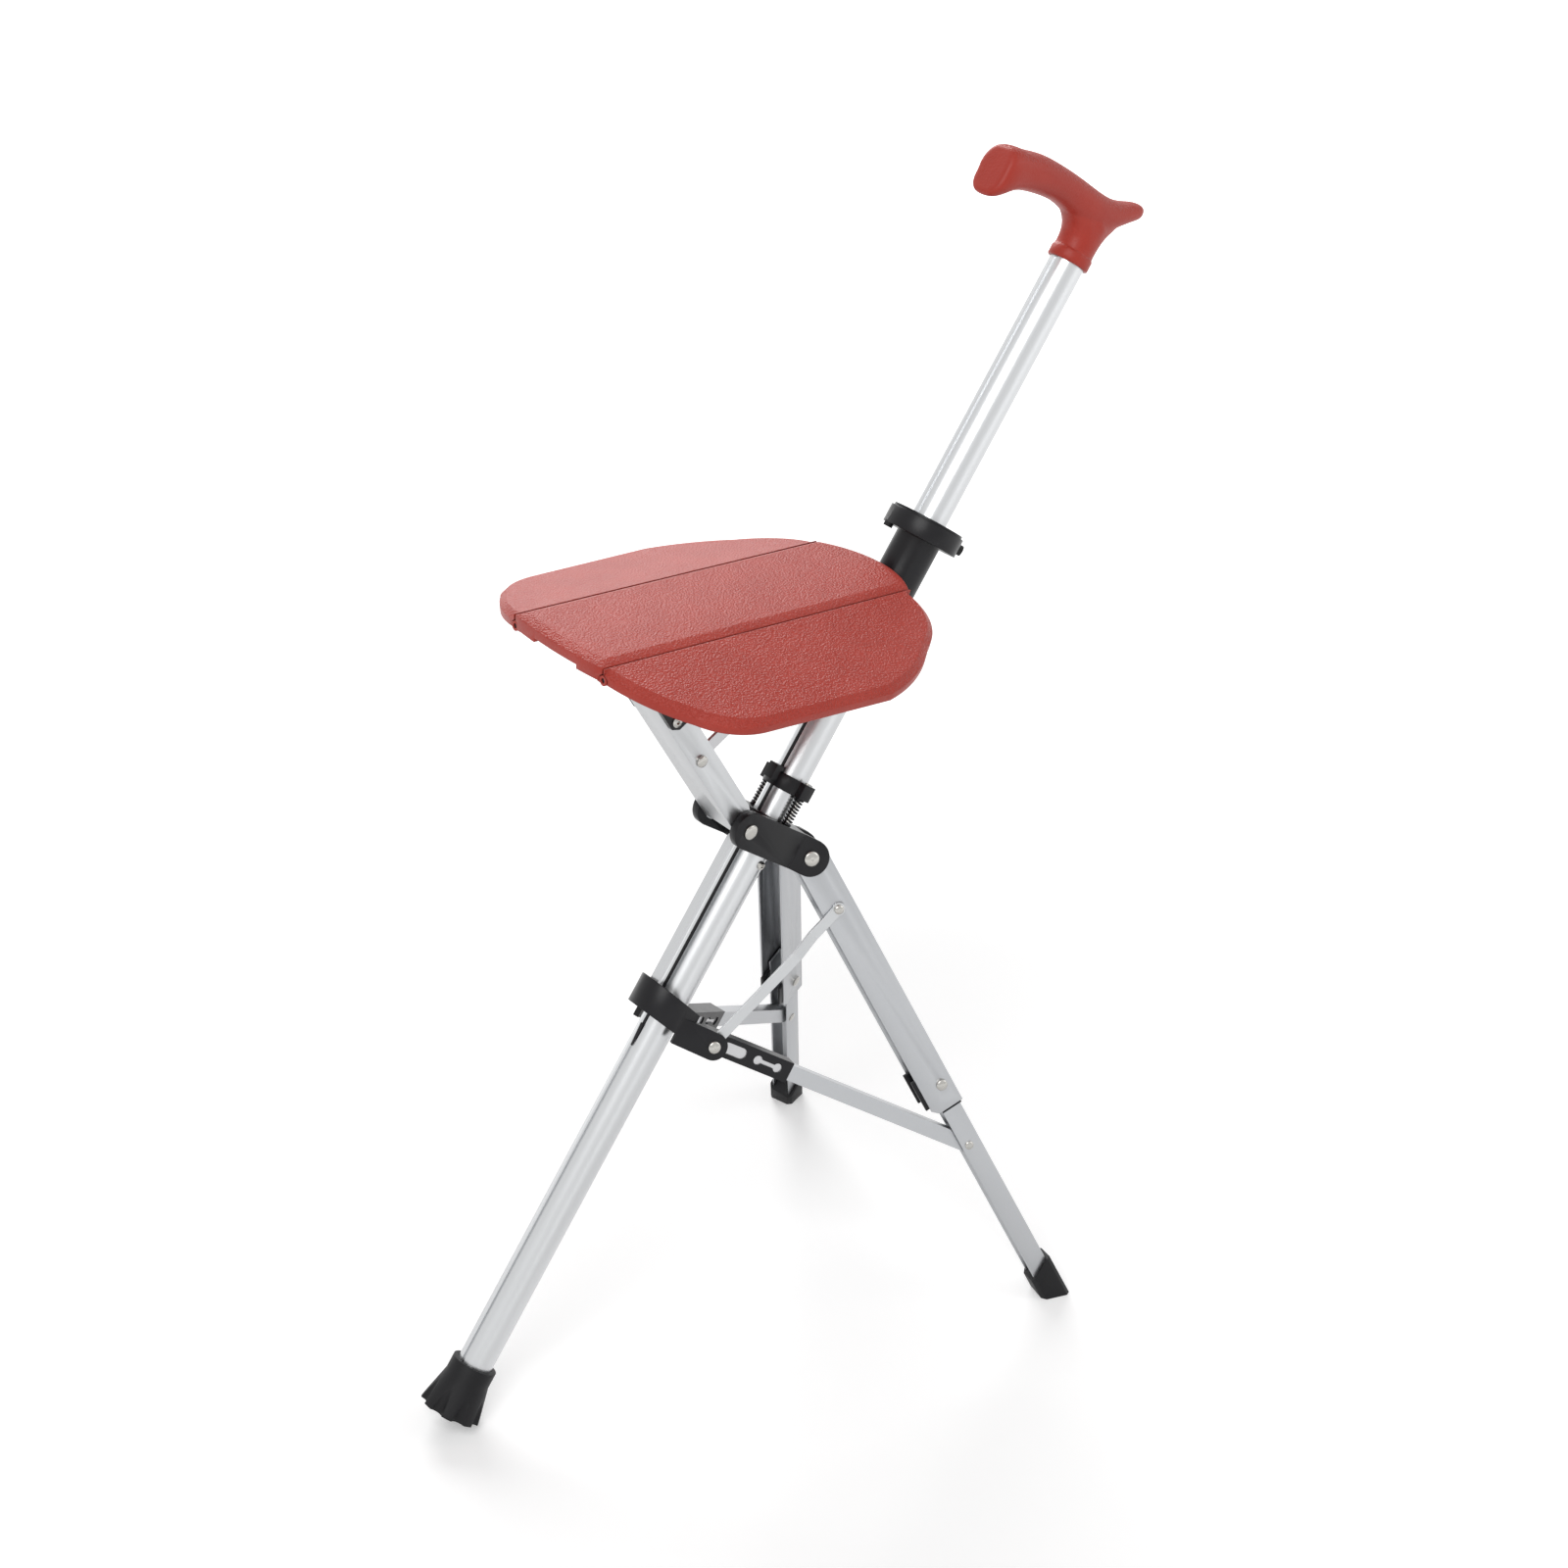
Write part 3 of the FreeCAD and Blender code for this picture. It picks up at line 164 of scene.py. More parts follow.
# %% Grain group
def make_grain():
    tree, source, result = group_of("pebbled grain",
        [("Cell Size", "Float", 0.0011), ("Wander", "Float", 0.35)],
        [("Height", "Float"), ("Patches", "Float")])
    place = tree.nodes.new("ShaderNodeTexCoord").outputs["Object"]
    per_metre = math_node(tree, "DIVIDE", 1.0, source.outputs["Cell Size"])
    bend = tree.nodes.new("ShaderNodeTexNoise")
    tree.links.new(place, bend.inputs["Vector"])
    tree.links.new(per_metre, bend.inputs["Scale"])
    bend.inputs["Detail"].default_value = 1.0
    shift = tree.nodes.new("ShaderNodeVectorMath")
    shift.operation = "SCALE"
    tree.links.new(bend.outputs["Color"], shift.inputs[0])
    reach = math_node(tree, "MULTIPLY", source.outputs["Cell Size"], source.outputs["Wander"])
    tree.links.new(reach, shift.inputs["Scale"])
    moved = tree.nodes.new("ShaderNodeVectorMath")
    tree.links.new(place, moved.inputs[0])
    tree.links.new(shift.outputs[0], moved.inputs[1])
    cells = tree.nodes.new("ShaderNodeTexVoronoi")
    cells.feature = "SMOOTH_F1"
    tree.links.new(moved.outputs[0], cells.inputs["Vector"])
    tree.links.new(per_metre, cells.inputs["Scale"])
    cells.inputs["Smoothness"].default_value = 0.35
    domes = ramp(tree, cells.outputs["Distance"], 0.15, 0.75, 1.0, 0.0)
    fine = noise(tree, place, math_node(tree, "MULTIPLY", per_metre, 2.6), 2.0)
    height = math_node(tree, "MULTIPLY_ADD", fine, 0.35, domes)
    patches = noise(tree, place, 38.0, 2.0)
    tree.links.new(height, result.inputs["Height"])
    tree.links.new(patches, result.inputs["Patches"])
    return tree


GRAIN = make_grain()
print("group", GRAIN.name)

# %% [markdown]
# ### Soft edges
# No moulded or pressed edge is perfectly sharp. The Bevel node bends the normal near an
# edge, so it catches light as a rounded one does, and comparing it with the true normal
# gives a mask of the edges, where a finish is a little paler from rubbing.

# %% Edge group
def make_edges():
    tree, source, result = group_of("soft edges",
        [("Radius", "Float", 0.0005)], [("Normal", "Vector"), ("Edge", "Float")])
    bevel = tree.nodes.new("ShaderNodeBevel")
    bevel.samples = 4
    tree.links.new(source.outputs["Radius"], bevel.inputs["Radius"])
    true = tree.nodes.new("ShaderNodeNewGeometry")
    dot = tree.nodes.new("ShaderNodeVectorMath")
    dot.operation = "DOT_PRODUCT"
    tree.links.new(bevel.outputs["Normal"], dot.inputs[0])
    tree.links.new(true.outputs["Normal"], dot.inputs[1])
    edge = ramp(tree, dot.outputs["Value"], 0.98, 0.75)
    tree.links.new(bevel.outputs["Normal"], result.inputs["Normal"])
    tree.links.new(edge, result.inputs["Edge"])
    return tree


EDGES = make_edges()
print("group", EDGES.name)

# %% [markdown]
# ### Drawn metal
# Aluminium tube and channel are drawn through a die, then anodised. The die leaves very
# fine lines along the length, and the anodised skin varies softly in gloss. An image could
# hold such lines, but a noise stretched along the piece needs no unwrapping. The lean input
# turns the stretch until it runs along the channel or tube.

# %% Drawn metal group
LINE_STRETCH = 0.012


def make_drawn():
    tree, source, result = group_of("drawn metal",
        [("Line Width", "Float", 0.0004), ("Lean", "Float", 0.0)],
        [("Lines", "Float"), ("Cloud", "Float")])
    place = tree.nodes.new("ShaderNodeTexCoord").outputs["Object"]
    angle = tree.nodes.new("ShaderNodeCombineXYZ")
    tree.links.new(source.outputs["Lean"], angle.inputs["Y"])
    spin = tree.nodes.new("ShaderNodeVectorRotate")
    spin.rotation_type = "EULER_XYZ"
    spin.invert = True
    tree.links.new(place, spin.inputs["Vector"])
    tree.links.new(angle.outputs[0], spin.inputs["Rotation"])
    squeeze = tree.nodes.new("ShaderNodeVectorMath")
    squeeze.operation = "MULTIPLY"
    tree.links.new(spin.outputs[0], squeeze.inputs[0])
    squeeze.inputs[1].default_value = (1.0, 1.0, LINE_STRETCH)
    scale = math_node(tree, "DIVIDE", 1.0, source.outputs["Line Width"])
    lines = noise(tree, squeeze.outputs[0], scale, 2.0)
    cloud = noise(tree, place, 24.0, 3.0)
    tree.links.new(lines, result.inputs["Lines"])
    tree.links.new(cloud, result.inputs["Cloud"])
    return tree


DRAWN = make_drawn()
print("group", DRAWN.name)

# %% [markdown]
# ### From groups to a material
# Every finish below takes the same four steps: a Principled shader whose constant values
# stand on the shader itself, a group placed with this finish's own inputs, two colours
# mixed by a mask, and a height turned into a normal. They could be written out in each
# material. One helper for each step keeps the finishes short and easy to compare.

# %% Material helpers
def new_material(name, **fixed):
    material = bpy.data.materials.new(name)
    material.use_nodes = True
    shader = material.node_tree.nodes["Principled BSDF"]
    for label, value in fixed.items():
        shader.inputs[label.replace("_", " ")].default_value = value
    return material, material.node_tree, shader


def placed(tree, group, **values):
    node = tree.nodes.new("ShaderNodeGroup")
    node.node_tree = group
    for label, value in values.items():
        node.inputs[label.replace("_", " ")].default_value = value
    return node


def colour_mix(tree, factor, first, second):
    # A mix of colours has its factor at socket 0, its colours at 6 and 7 and its result at 2
    node = tree.nodes.new("ShaderNodeMix")
    node.data_type = "RGBA"
    for socket, value in ((0, factor), (6, first), (7, second)):
        if isinstance(value, (int, float)):
            node.inputs[socket].default_value = value
        elif isinstance(value, tuple):
            node.inputs[socket].default_value = (*value, 1.0)
        else:
            tree.links.new(value, node.inputs[socket])
    return node.outputs[2]


def bumped(tree, height, strength, distance, normal):
    node = tree.nodes.new("ShaderNodeBump")
    node.inputs["Strength"].default_value = strength
    node.inputs["Distance"].default_value = distance
    tree.links.new(height, node.inputs["Height"])
    if normal is not None:
        tree.links.new(normal, node.inputs["Normal"])
    return node.outputs["Normal"]


# %% [markdown]
# ## Red moulded plastic
# The seat panels and the grip are one brick-red plastic. The grain covers the broad tops
# and their rolled edges and fades down the sides, so the bump is scaled by how far the
# surface faces up from the panel. The wings droop, so each panel has its own direction.
# Little light reaches the gaps between the panels, and there ambient occlusion darkens the
# red, which the soft studio light alone does too weakly.

# %% Red plastic
BRICK = (0.42, 0.036, 0.021)
BRICK_PALE = (0.46, 0.045, 0.028)
BRICK_RUBBED = (0.53, 0.075, 0.055)
BRICK_SHADED = (0.10, 0.008, 0.005)
PEBBLE = 0.0013
PEBBLE_DEPTH = 0.00055
CREVICE = 0.006
SEAT_TILT = math.radians(5)
WING_DROOP = math.radians(12)


def red_plastic(name, up, low, high):
    # The grain starts to show where the surface faces up by low, and is full at high
    material, tree, shader = new_material(name, Specular_IOR_Level=0.38)
    grain = placed(tree, GRAIN, Cell_Size=PEBBLE)
    edges = placed(tree, EDGES, Radius=0.0009)
    facing = tree.nodes.new("ShaderNodeVectorMath")
    facing.operation = "DOT_PRODUCT"
    tree.links.new(tree.nodes.new("ShaderNodeNewGeometry").outputs["Normal"], facing.inputs[0])
    facing.inputs[1].default_value = up
    top = ramp(tree, facing.outputs["Value"], low, high)
    patch = ramp(tree, grain.outputs["Patches"], 0.35, 0.7)
    colour = colour_mix(tree, patch, BRICK, BRICK_PALE)
    worn = math_node(tree, "MULTIPLY", edges.outputs["Edge"], 0.35)
    colour = colour_mix(tree, worn, colour, BRICK_RUBBED)
    crevice = tree.nodes.new("ShaderNodeAmbientOcclusion")
    crevice.samples = 8
    crevice.inputs["Distance"].default_value = CREVICE
    shade = ramp(tree, crevice.outputs["AO"], 0.25, 0.85, 0.2, 1.0)
    colour = colour_mix(tree, shade, BRICK_SHADED, colour)
    tree.links.new(colour, shader.inputs["Base Color"])
    rough = math_node(tree, "MULTIPLY_ADD", grain.outputs["Height"], -0.08, 0.50)
    tree.links.new(rough, shader.inputs["Roughness"])
    share = math_node(tree, "MULTIPLY_ADD", top, 0.88, 0.12)
    height = math_node(tree, "MULTIPLY", grain.outputs["Height"], share)
    normal = bumped(tree, height, 0.75, PEBBLE_DEPTH, edges.outputs["Normal"])
    tree.links.new(normal, shader.inputs["Normal"])
    return material


seat_up = Vector((math.sin(SEAT_TILT), 0, math.cos(SEAT_TILT)))
seat_along = Vector((math.cos(SEAT_TILT), 0, -math.sin(SEAT_TILT)))
seat_red = red_plastic("red seat plastic", seat_up, 0.1, 0.6)
far_up = Matrix.Rotation(-WING_DROOP, 3, seat_along) @ seat_up
near_up = Vector((far_up.x, -far_up.y, far_up.z))
far_red = red_plastic("red far wing plastic", far_up, 0.1, 0.6)
near_red = red_plastic("red near wing plastic", near_up, 0.1, 0.6)
shaft_up = Vector((math.sin(LEAN), 0, math.cos(LEAN)))
grip_red = red_plastic("red grip plastic", shaft_up, 0.35, 0.85)
print("reds", seat_red.name, far_red.name, near_red.name, grip_red.name)

# %% [markdown]
# ## Black plastic and rubber
# The hub, slider and sleeve are satin nylon with a fine spark-eroded texture. The rubber
# tip and feet are deeper black and duller, and the release button is smooth. One function
# serves all three, because they differ only in colour, gloss and grain.

# %% Black finishes
def black_finish(name, colour, rough, cell, depth):
    material, tree, shader = new_material(name, Specular_IOR_Level=0.26)
    grain = placed(tree, GRAIN, Cell_Size=cell)
    edges = placed(tree, EDGES, Radius=0.0007)
    patch = ramp(tree, grain.outputs["Patches"], 0.3, 0.7)
    lighter = tuple(c * 1.45 for c in colour)
    rubbed = tuple(c * 2.4 for c in colour)
    tint = colour_mix(tree, patch, colour, lighter)
    tint = colour_mix(tree, math_node(tree, "MULTIPLY", edges.outputs["Edge"], 0.5), tint, rubbed)
    tree.links.new(tint, shader.inputs["Base Color"])
    tree.links.new(math_node(tree, "MULTIPLY_ADD", patch, 0.08, rough), shader.inputs["Roughness"])
    normal = bumped(tree, grain.outputs["Height"], 0.5, depth, edges.outputs["Normal"])
    tree.links.new(normal, shader.inputs["Normal"])
    return material


black = black_finish("black nylon", (0.007, 0.007, 0.0085), 0.30, 0.0006, 0.00003)
rubber = black_finish("black rubber", (0.006, 0.006, 0.007), 0.50, 0.0009, 0.00005)
button_black = black_finish("smooth black", (0.010, 0.010, 0.011), 0.25, 0.0012, 0.00001)
print("blacks", black.name, rubber.name, button_black.name)

# %% [markdown]
# ## Aluminium and steel
# The tube and channels are satin anodised aluminium, and the small fittings are zinc-plated
# or stainless steel. The steel links look like the arm, so they share its finish. One grey
# could serve all the aluminium, but in a white studio its brightness depends on which way
# it faces, so the shaft, the legs and the arm each have their own grey, with painted light
# and shade for the way it faces. The hinge rods and the springs are blackened wire. The
# shaft and the pins are round and need no softened edge, so a radius of 0 leaves that group out.

# %% Metals
def metal(name, colour, rough, width, lean=0.0, depth=0.00001, radius=0.0004):
    material, tree, shader = new_material(name)
    drawn = placed(tree, DRAWN, Line_Width=width, Lean=lean)
    soft = placed(tree, EDGES, Radius=radius).outputs["Normal"] if radius else None
    darker = tuple(c * 0.975 for c in colour)
    tint = colour_mix(tree, ramp(tree, drawn.outputs["Lines"], 0.3, 0.7), darker, colour)
    tree.links.new(tint, shader.inputs["Base Color"])
    wander = math_node(tree, "MULTIPLY_ADD", drawn.outputs["Cloud"], 0.06, rough - 0.03)
    wander = math_node(tree, "MULTIPLY_ADD", drawn.outputs["Lines"], 0.03, wander)
    tree.links.new(wander, shader.inputs["Roughness"])
    shader.inputs["Metallic"].default_value = 1.0
    normal = bumped(tree, drawn.outputs["Lines"], 0.25, depth, soft)
    tree.links.new(normal, shader.inputs["Normal"])
    return material


LEG_LEAN = -math.radians(20.6)
ARM_LEAN = -math.radians(28.6)
# One aluminium in three greys: painted light and shade for the way the shaft, the legs and the arm
# face
silver = metal("satin aluminium shaft", (0.60, 0.61, 0.62), 0.28, 0.0005,
               lean=LEAN, depth=0.000003, radius=0)
leg_silver = metal("satin aluminium leg", (0.46, 0.47, 0.485), 0.34, 0.0005,
                   lean=LEG_LEAN, depth=0.000004)
arm_silver = metal("satin aluminium arm", (0.53, 0.54, 0.55), 0.34, 0.0005,
                   lean=ARM_LEAN, depth=0.000004)
steel = metal("zinc plated steel", (0.52, 0.52, 0.53), 0.32, 0.0008)
bright = metal("bright pins", (0.46, 0.45, 0.425), 0.20, 0.0012, depth=0.000002, radius=0)
wire = metal("blackened spring wire", (0.035, 0.035, 0.038), 0.26, 0.0006)
print("metals", silver.name, leg_silver.name, arm_silver.name, steel.name, bright.name, wire.name)

# %% [markdown]
# ## Finishes on the CAD pieces
# Every solid of the frame has one finish, chosen by what it is made of. The names of the
# near and far pieces differ only in their first word, so that word is dropped to look
# the finish up. What no group names is zinc-plated steel.

# %% Choose a finish by name
FINISH = {"handle": grip_red, "centre_panel": seat_red, "far_wing": far_red, "near_wing": near_red}
GROUPS = (
    (rubber, ("ferrule", "foot")),
    (button_black, ("release_button",)),
    (silver, ("shaft_tube", "push_bar")),
    (leg_silver, ("leg_upper", "leg_lower", "leg_bar")),
    (arm_silver, ("seat_arm", "link")),
    (wire, ("hinge_rods",)),
    (black, ("hub", "slider", "sleeve", "spring_collar", "groove_strip", "arm_blocks",
             "knee_liner", "guide", "flange_plate")),
    (bright, ("arm_pin", "leg_pins", "slider_pins", "leg_rivets", "link_rivet", "brace_rivet",
              "seat_pivot_pins", "sleeve_hinge_pin", "arm_screws", "hub_screws",
              "bracket_screws", "spring_rods")),
)


def plain(name):
    return name.replace("far_", "").replace("near_", "")


def finish_of(name):
    if name in FINISH:
        return FINISH[name]
    return next((material for material, names in GROUPS if plain(name) in names), steel)


for name, thing in nodes.items():
    thing.data.materials.clear()
    thing.data.materials.append(finish_of(name))
print("finished", len(nodes), "CAD pieces")

# %% [markdown]
# ## Softened edges in real geometry
# A moulded corner is round, and the eye reads its highlight at once. The CAD solids
# have crisp corners, so the pieces that are seen best are copied, their loose triangles
# are merged, flat areas are joined into single faces, and the sharp edges that are left
# get a small bevel. The copy replaces the solid, which stays in the frame for collision.
# The two guides keep their plain solids, because the leg bars slide close inside them, and a
# rounded copy would touch the bar when the legs fold.

# %% A softened copy of a CAD piece
body_of = {row["node"]: None for row in frame["record"]["subparts"]}
for body, members in frame["record"]["behaviour"]["bodies"].items():
    for member in members:
        body_of[member] = body
slot_of = {row["node"]: row["material_slot"] for row in frame["record"]["subparts"]}
SAME_PLACE = 0.000004
FLAT = math.radians(1)
SHARP = math.radians(22)


def merged_mesh(node):
    form = bmesh.new()
    form.from_mesh(nodes[node].data)
    bmesh.ops.remove_doubles(form, verts=form.verts, dist=SAME_PLACE)
    bmesh.ops.dissolve_limit(form, angle_limit=FLAT, verts=form.verts, edges=form.edges)
    mesh = bpy.data.meshes.new(node + "_soft")
    form.to_mesh(mesh)
    form.free()
    return mesh


def baked(thing):
    # The evaluated mesh takes the place of the modifiers
    view = bpy.context.view_layer.depsgraph
    view.update()
    mesh = bpy.data.meshes.new_from_object(thing.evaluated_get(view))
    thing.modifiers.clear()
    thing.data = mesh
    return thing


def coat(thing, node, crease):
    # The finish of the CAD piece, on smooth faces with creases at the sharpest edges
    thing.data.materials.clear()
    thing.data.materials.append(finish_of(node))
    thing.data.polygons.foreach_set("use_smooth", [True] * len(thing.data.polygons))
    thing.data.set_sharp_from_angle(angle=math.radians(crease))


def softened(node, width):
    thing = bpy.data.objects.new(node + "_soft", merged_mesh(node))
    bpy.context.scene.collection.objects.link(thing)
    bevel = thing.modifiers.new("soft edge", "BEVEL")
    bevel.width = width
    bevel.segments = 2
    bevel.limit_method = "ANGLE"
    bevel.angle_limit = SHARP
    bevel.use_clamp_overlap = True
    bevel.miter_outer = "MITER_ARC"
    coat(baked(thing), node, 32)
    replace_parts(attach(thing, body_of[node]), node)
    return thing


SOFT = {
    "centre_panel": 0.0017, "near_wing": 0.0017, "far_wing": 0.0017,
    "hub": 0.0008, "slider": 0.0008, "sleeve": 0.0006, "spring_collar": 0.0006,
    "near_foot": 0.0014, "far_foot": 0.0014, "near_knee_liner": 0.0005,
    "far_knee_liner": 0.0005, "ferrule": 0.0009, "seat_arm": 0.0005,
    "near_leg_upper": 0.0004, "far_leg_upper": 0.0004,
    "near_leg_lower": 0.0004, "far_leg_lower": 0.0004,
}
for node, width in SOFT.items():
    piece = softened(node, width)
    print(piece.name, len(piece.data.polygons), "faces")

# %% [markdown]
# ## The grip
# The real grip is moulded in one piece, and its neck flows into the hand rest in a wide
# fillet. The solid joins a loft and a collar, so rings that widen upwards are added round
# the neck, a voxel remesh wraps everything in one even skin, and a few rounds of
# smoothing melt the joins. The crisp collar at the foot of the neck is turned afterwards.

# %% Rings round an axis
def ring_stack(form, rows, sides=40, closed=False):
    # A row is height, reach to the front, reach to the rear and reach to each side, in mm
    loops = []
    for height, front, rear, side in rows:
        loop = []
        for step in range(sides):
            angle = 2 * math.pi * step / sides
            reach = rear if math.cos(angle) > 0 else front
            spot = along_shaft(reach * math.cos(angle), side * math.sin(angle), height)
            loop.append(form.verts.new(spot))
        loops.append(loop)
    pairs = list(zip(loops, loops[1:])) + ([(loops[-1], loops[0])] if closed else [])
    for low, high in pairs:
        for step in range(sides):
            follow = (step + 1) % sides
            form.faces.new((low[step], low[follow], high[follow], high[step]))
    if not closed:
        form.faces.new(reversed(loops[0]))
        form.faces.new(loops[-1])


# %% A smoothly blended grip
FLARE = (
    (793, 12.2, 12.2, 12.2), (798, 13.0, 12.4, 12.2), (801, 14.6, 12.8, 12.2),
    (803.5, 16.8, 13.4, 12.1), (805.5, 19.8, 14.2, 12.0), (807.5, 24.0, 15.2, 11.8),
    (810, 27.0, 16.6, 11.4), (814, 26.0, 19.6, 10.8), (818, 20.0, 21.5, 9.0),
)
COLLAR_TURN = (
    (783.9, 11.0), (783.9, 12.6), (784.4, 13.1), (790.2, 13.1),
    (791.0, 12.7), (791.4, 11.6), (790.0, 11.0),
)
COLLAR = [(height, reach, reach, reach) for height, reach in COLLAR_TURN]
SKIN_CELL = 0.0008
MELT_ROUNDS = 30


def blended(node):
    thing = bpy.data.objects.new(node + "_soft", merged_mesh(node))
    bpy.context.scene.collection.objects.link(thing)
    form = bmesh.new()
    form.from_mesh(thing.data)
    ring_stack(form, FLARE)
    form.to_mesh(thing.data)
    form.free()
    skin = thing.modifiers.new("even skin", "REMESH")
    skin.mode = "VOXEL"
    skin.voxel_size = SKIN_CELL
    melt = thing.modifiers.new("melt", "SMOOTH")
    melt.factor = 0.5
    melt.iterations = MELT_ROUNDS
    baked(thing)
    form = bmesh.new()
    form.from_mesh(thing.data)
    ring_stack(form, COLLAR, 64, closed=True)
    form.to_mesh(thing.data)
    form.free()
    coat(thing, node, 50)
    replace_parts(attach(thing, body_of[node]), node)
    return thing


grip = blended("handle")
print(grip.name, len(grip.data.polygons), "faces")

# %% [markdown]
# ## Springs
# Two small compression springs stand on rods between the hub and the sprung collar. A
# spring follows a rule, a helix with a closed flat turn at each end, so Geometry Nodes
# draw it: a spiral curve and two rings, given a round wire.

# %% Geometry Nodes helpers
def geometry_tree(name, inputs):
    tree = bpy.data.node_groups.new(name, "GeometryNodeTree")
    for label, value in inputs.items():
        socket = tree.interface.new_socket(
            name=label, in_out="INPUT", socket_type="NodeSocketFloat")
        socket.default_value = value
    tree.interface.new_socket(name="Mesh", in_out="OUTPUT", socket_type="NodeSocketGeometry")
    return tree, tree.nodes.new("NodeGroupInput"), tree.nodes.new("NodeGroupOutput")


def gn(tree, kind, feeds=(), **settings):
    node = tree.nodes.new(kind if kind.startswith("Shader") else "GeometryNode" + kind)
    for label, value in settings.items():
        setattr(node, label, value)
    for socket, value in dict(feeds).items():
        if isinstance(value, bpy.types.NodeSocket):
            tree.links.new(value, node.inputs[socket])
        else:
            node.inputs[socket].default_value = value
    return node


def end_tree(tree, shape, result, material):
    smooth = gn(tree, "SetShadeSmooth", {"Geometry": shape})
    real = gn(tree, "RealizeInstances", {"Geometry": smooth.outputs[0]})
    dressed = gn(tree, "SetMaterial", {"Geometry": real.outputs[0], "Material": material})
    tree.links.new(dressed.outputs[0], result.inputs[0])


def grown(name, tree, values, body, matrix, slot, *stands_for):
    # One mesh from a tree and its named sizes, laid in place and riding on its body
    thing = bpy.data.objects.new(name, bpy.data.meshes.new(name))
    bpy.context.scene.collection.objects.link(thing)
    maker = thing.modifiers.new("maker", "NODES")
    maker.node_group = tree
    for socket in tree.interface.items_tree:
        if socket.in_out == "INPUT":
            maker[socket.identifier] = values[socket.name]
    baked(thing)
    thing.data.transform(matrix)
    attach(thing, body)
    if stands_for:
        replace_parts(thing, *stands_for)
    return thing


# %% Spring tree
SPRING_LOW = 413.6
SPRING_HIGH = 429.8
SPRING_SIZES = {"Radius": 2.6, "Wire": 0.6, "Height": SPRING_HIGH - SPRING_LOW, "Turns": 8.0}


def make_spring_tree():
    tree, sizes, result = geometry_tree("coil spring", SPRING_SIZES)
    radius = sizes.outputs["Radius"]
    coil = gn(tree, "CurveSpiral", {
        "Resolution": 28, "Rotations": sizes.outputs["Turns"], "Start Radius": radius,
        "End Radius": radius, "Height": sizes.outputs["Height"]})
    ring = gn(tree, "CurvePrimitiveCircle", {"Resolution": 28, "Radius": radius})
    lift = gn(tree, "ShaderNodeCombineXYZ", {"Z": sizes.outputs["Height"]})
    top = gn(tree, "Transform", {
        "Geometry": ring.outputs["Curve"], "Translation": lift.outputs[0]})
    both = gn(tree, "JoinGeometry")
    for part in (coil.outputs["Curve"], ring.outputs["Curve"], top.outputs[0]):
        tree.links.new(part, both.inputs[0])
    section = gn(tree, "CurvePrimitiveCircle", {"Resolution": 8, "Radius": sizes.outputs["Wire"]})
    wire_mesh = gn(tree, "CurveToMesh", {
        "Curve": both.outputs[0], "Profile Curve": section.outputs["Curve"], "Fill Caps": True})
    end_tree(tree, wire_mesh.outputs[0], result, wire)
    return tree


SPRING = make_spring_tree()
SPRING_SIDE = 15.0
shaft_axis = SHAFT.to_3x3() @ Vector((0, 0, 1))
shaft_axis.normalize()
for side, sign in (("near", -1), ("far", 1)):
    place = SHAFT @ Matrix.Translation((0, sign * SPRING_SIDE, SPRING_LOW))
    coil = grown(side + "_coil", SPRING, SPRING_SIZES, "stick", place, "spring", side + "_spring")
    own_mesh(coil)
    print(coil.name, len(coil.data.polygons), "faces")

# %% [markdown]
# ## Domed pin heads
# The pins and rivets have polished domes with a small dimple from the riveting tool. The
# solids have a flat on each head, so its place, direction and size are read from that
# flat, and one Geometry Nodes dome is grown on every head of a pin: a flattened ball, sunk
# until only its cap stands out. The domes of one CAD piece are joined into one mesh, which
# moves more simply than many.

# %% Dome tree
DIMPLE_DEPTH = 0.00025


def make_dome_tree():
    tree, sizes, result = geometry_tree(
        "domed head", {"Radius": 0.0046, "Height": 0.001, "Dimple": 0.0008})
    radius = sizes.outputs["Radius"]
    ball = gn(tree, "MeshUVSphere", {"Segments": 24, "Rings": 16, "Radius": 1.0})
    size = gn(tree, "ShaderNodeCombineXYZ", {
        "X": radius, "Y": radius, "Z": sizes.outputs["Height"]})
    dome = gn(tree, "Transform", {"Geometry": ball.outputs["Mesh"], "Scale": size.outputs[0]})
    position = gn(tree, "InputPosition")
    flat = gn(tree, "ShaderNodeVectorMath",
              {0: position.outputs[0], 1: (1.0, 1.0, 0.0)}, operation="MULTIPLY")
    reach = gn(tree, "ShaderNodeVectorMath", {0: flat.outputs[0]}, operation="LENGTH")
    inside = gn(tree, "ShaderNodeMapRange", {
        "Value": reach.outputs["Value"], "From Min": 0.0, "From Max": sizes.outputs["Dimple"],
        "To Min": -DIMPLE_DEPTH, "To Max": 0.0})
    drop = gn(tree, "ShaderNodeCombineXYZ", {"Z": inside.outputs["Result"]})
    dimpled = gn(tree, "SetPosition", {"Geometry": dome.outputs[0], "Offset": drop.outputs[0]})
    end_tree(tree, dimpled.outputs[0], result, bright)
    return tree


# %% Grow the domes on the pins
def heads_of(node):
    # Centre, direction and radius of every head that faces away from the middle. A head
    # slopes gently round its flat, and the bare end of a pin meets its own straight side
    form = bmesh.new()
    form.from_mesh(merged_mesh(node))
    found = []
    for face in form.faces:
        centre = face.calc_center_median()
        reaches = [(corner.co - centre).length for corner in face.verts]
        sides = [side for edge in face.edges for side in edge.link_faces if side is not face]
        shallow = min((side.normal.dot(face.normal) for side in sides), default=0) > 0.5
        round_flat = len(reaches) > 11 and max(reaches) - min(reaches) < 0.0001
        outward = face.normal.y * centre.y > 0 and abs(face.normal.y) > 0.7
        if round_flat and shallow and outward:
            found.append((centre.copy(), face.normal.copy(), sum(reaches) / len(reaches)))
    form.free()
    return found


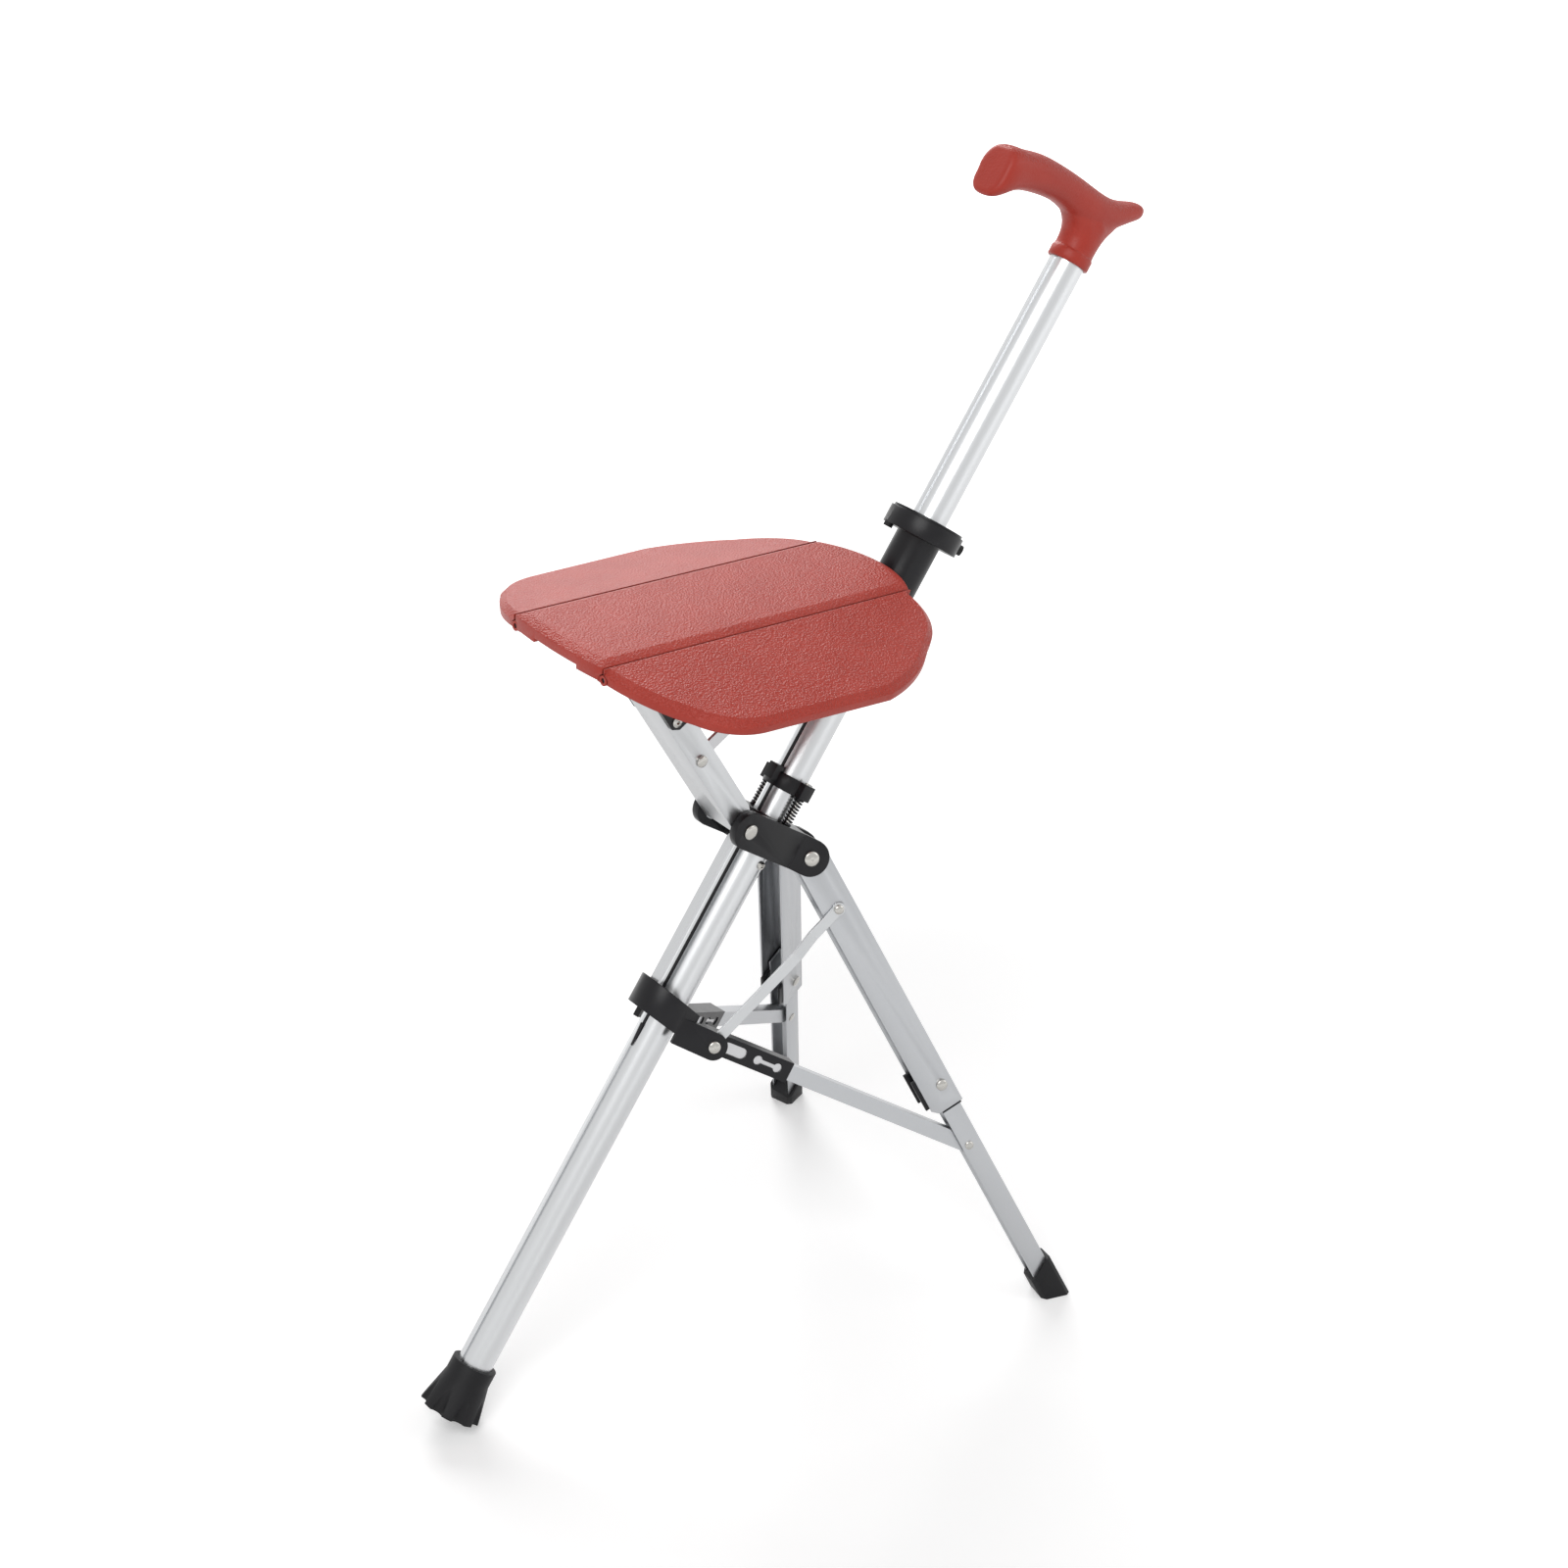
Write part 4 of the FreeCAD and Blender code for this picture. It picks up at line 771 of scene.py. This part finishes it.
DOME = make_dome_tree()
DOME_HEIGHT = 0.00105
DOME_SUNK = 0.0008
FLAT_SHARE = 0.56
DIMPLE_SHARE = 0.32
for node in ("arm_pin", "leg_pins", "slider_pins", "near_link_rivet", "far_link_rivet",
             "near_leg_rivets", "far_leg_rivets", "brace_rivet", "seat_pivot_pins",
             "sleeve_hinge_pin"):
    joined = bmesh.new()
    heads = heads_of(node)
    for centre, outward, flat_radius in heads:
        stand = outward.to_track_quat("Z", "Y").to_matrix().to_4x4()
        spot = Matrix.Translation(centre - outward * DOME_SUNK) @ stand
        sizes = {"Radius": flat_radius / FLAT_SHARE, "Height": DOME_HEIGHT,
                 "Dimple": flat_radius * DIMPLE_SHARE}
        dome = grown(node + "_dome", DOME, sizes, body_of[node], spot, slot_of[node])
        joined.from_mesh(dome.data)
        bpy.data.objects.remove(dome)
    if heads:
        mesh = bpy.data.meshes.new(node + "_domes")
        joined.to_mesh(mesh)
        mesh.materials.append(bright)
        mesh.polygons.foreach_set("use_smooth", [True] * len(mesh.polygons))
        domes = bpy.data.objects.new(node + "_domes", mesh)
        bpy.context.scene.collection.objects.link(domes)
        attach(domes, body_of[node])
    joined.free()
    print(node, len(heads), "domes", [round(h[2] * 1000, 2) for h in heads])

# %% [markdown]
# ## Floor and light
# The photograph has a white ground with hardly any shadow. A floor lit until it is white
# would also throw that light back at the object, so the floor and the world are white only
# to the rays that the eye follows: from the camera, in a reflection or through glass. The
# floor's glow grows with the distance, so the soft shadows at the feet stay and the ground
# behind fades to white. Three large soft lamps light the object from the upper left, the
# right and behind.

# %% Rays the eye follows
def seen_by_eye(tree):
    # 1 for camera, glossy and transmission rays, 0 for the rays that light the object
    path = tree.nodes.new("ShaderNodeLightPath")
    seen = math_node(tree, "MAXIMUM", path.outputs["Is Camera Ray"], path.outputs["Is Glossy Ray"])
    return math_node(tree, "MAXIMUM", seen, path.outputs["Is Transmission Ray"])


# %% Floor
FLOOR_HALF = 6
GLOW_LEAST = 0.3
GLOW_FROM = 0.4
GLOW_FULL = 2.4
corners = [(x * FLOOR_HALF, y * FLOOR_HALF, 0) for x, y in ((-1, -1), (1, -1), (1, 1), (-1, 1))]
floor_mesh = bpy.data.meshes.new("floor")
floor_mesh.from_pydata(corners, [], [(0, 1, 2, 3)])
floor = bpy.data.objects.new("floor", floor_mesh)
bpy.context.scene.collection.objects.link(floor)
floor_material, floor_tree, floor_shader = new_material(
    "pale floor", Roughness=0.9, Specular_IOR_Level=0.1)
floor_place = floor_tree.nodes.new("ShaderNodeTexCoord").outputs["Object"]
cloud = noise(floor_tree, floor_place, 3.0, 3.0)
pale = colour_mix(floor_tree, cloud, (0.86, 0.86, 0.86), (0.88, 0.88, 0.88))
floor_tree.links.new(pale, floor_shader.inputs["Base Color"])
away = floor_tree.nodes.new("ShaderNodeVectorMath")
away.operation = "LENGTH"
floor_tree.links.new(floor_place, away.inputs[0])
glow = ramp(floor_tree, away.outputs["Value"], GLOW_FROM, GLOW_FULL, GLOW_LEAST, 1.0)
strength = math_node(floor_tree, "MULTIPLY", seen_by_eye(floor_tree), glow)
floor_tree.links.new(strength, floor_shader.inputs["Emission Strength"])
floor_shader.inputs["Emission Color"].default_value = (1, 1, 1, 1)
floor_mesh.materials.append(floor_material)
print("floor", 2 * FLOOR_HALF, "m wide")

# %% Lamps and world
LAMP_SIZE = 1.8
WORLD_LIGHT = 0.28


def lamp(name, place, aim, power):
    data = bpy.data.lights.new(name, "AREA")
    data.shape = "DISK"
    data.size = LAMP_SIZE
    data.energy = power
    thing = bpy.data.objects.new(name, data)
    aimed = (Vector(aim) - Vector(place)).to_track_quat("-Z", "Y").to_matrix().to_4x4()
    thing.matrix_world = Matrix.Translation(place) @ aimed
    bpy.context.scene.collection.objects.link(thing)


lamp("key", (-1.6, -1.2, 2.4), (0, 0, 0.35), 36)
lamp("fill", (1.9, -1.9, 1.5), (0, 0, 0.35), 12)
lamp("rear", (0.9, 2.3, 1.9), (0, 0, 0.4), 48)
world = bpy.data.worlds.new("studio")
bpy.context.scene.world = world
world.use_nodes = True
backdrop = world.node_tree.nodes["Background"]
backdrop.inputs["Color"].default_value = (1, 1, 1, 1)
strength = ramp(world.node_tree, seen_by_eye(world.node_tree), 0.0, 1.0, WORLD_LIGHT, 1.0)
world.node_tree.links.new(strength, backdrop.inputs["Strength"])
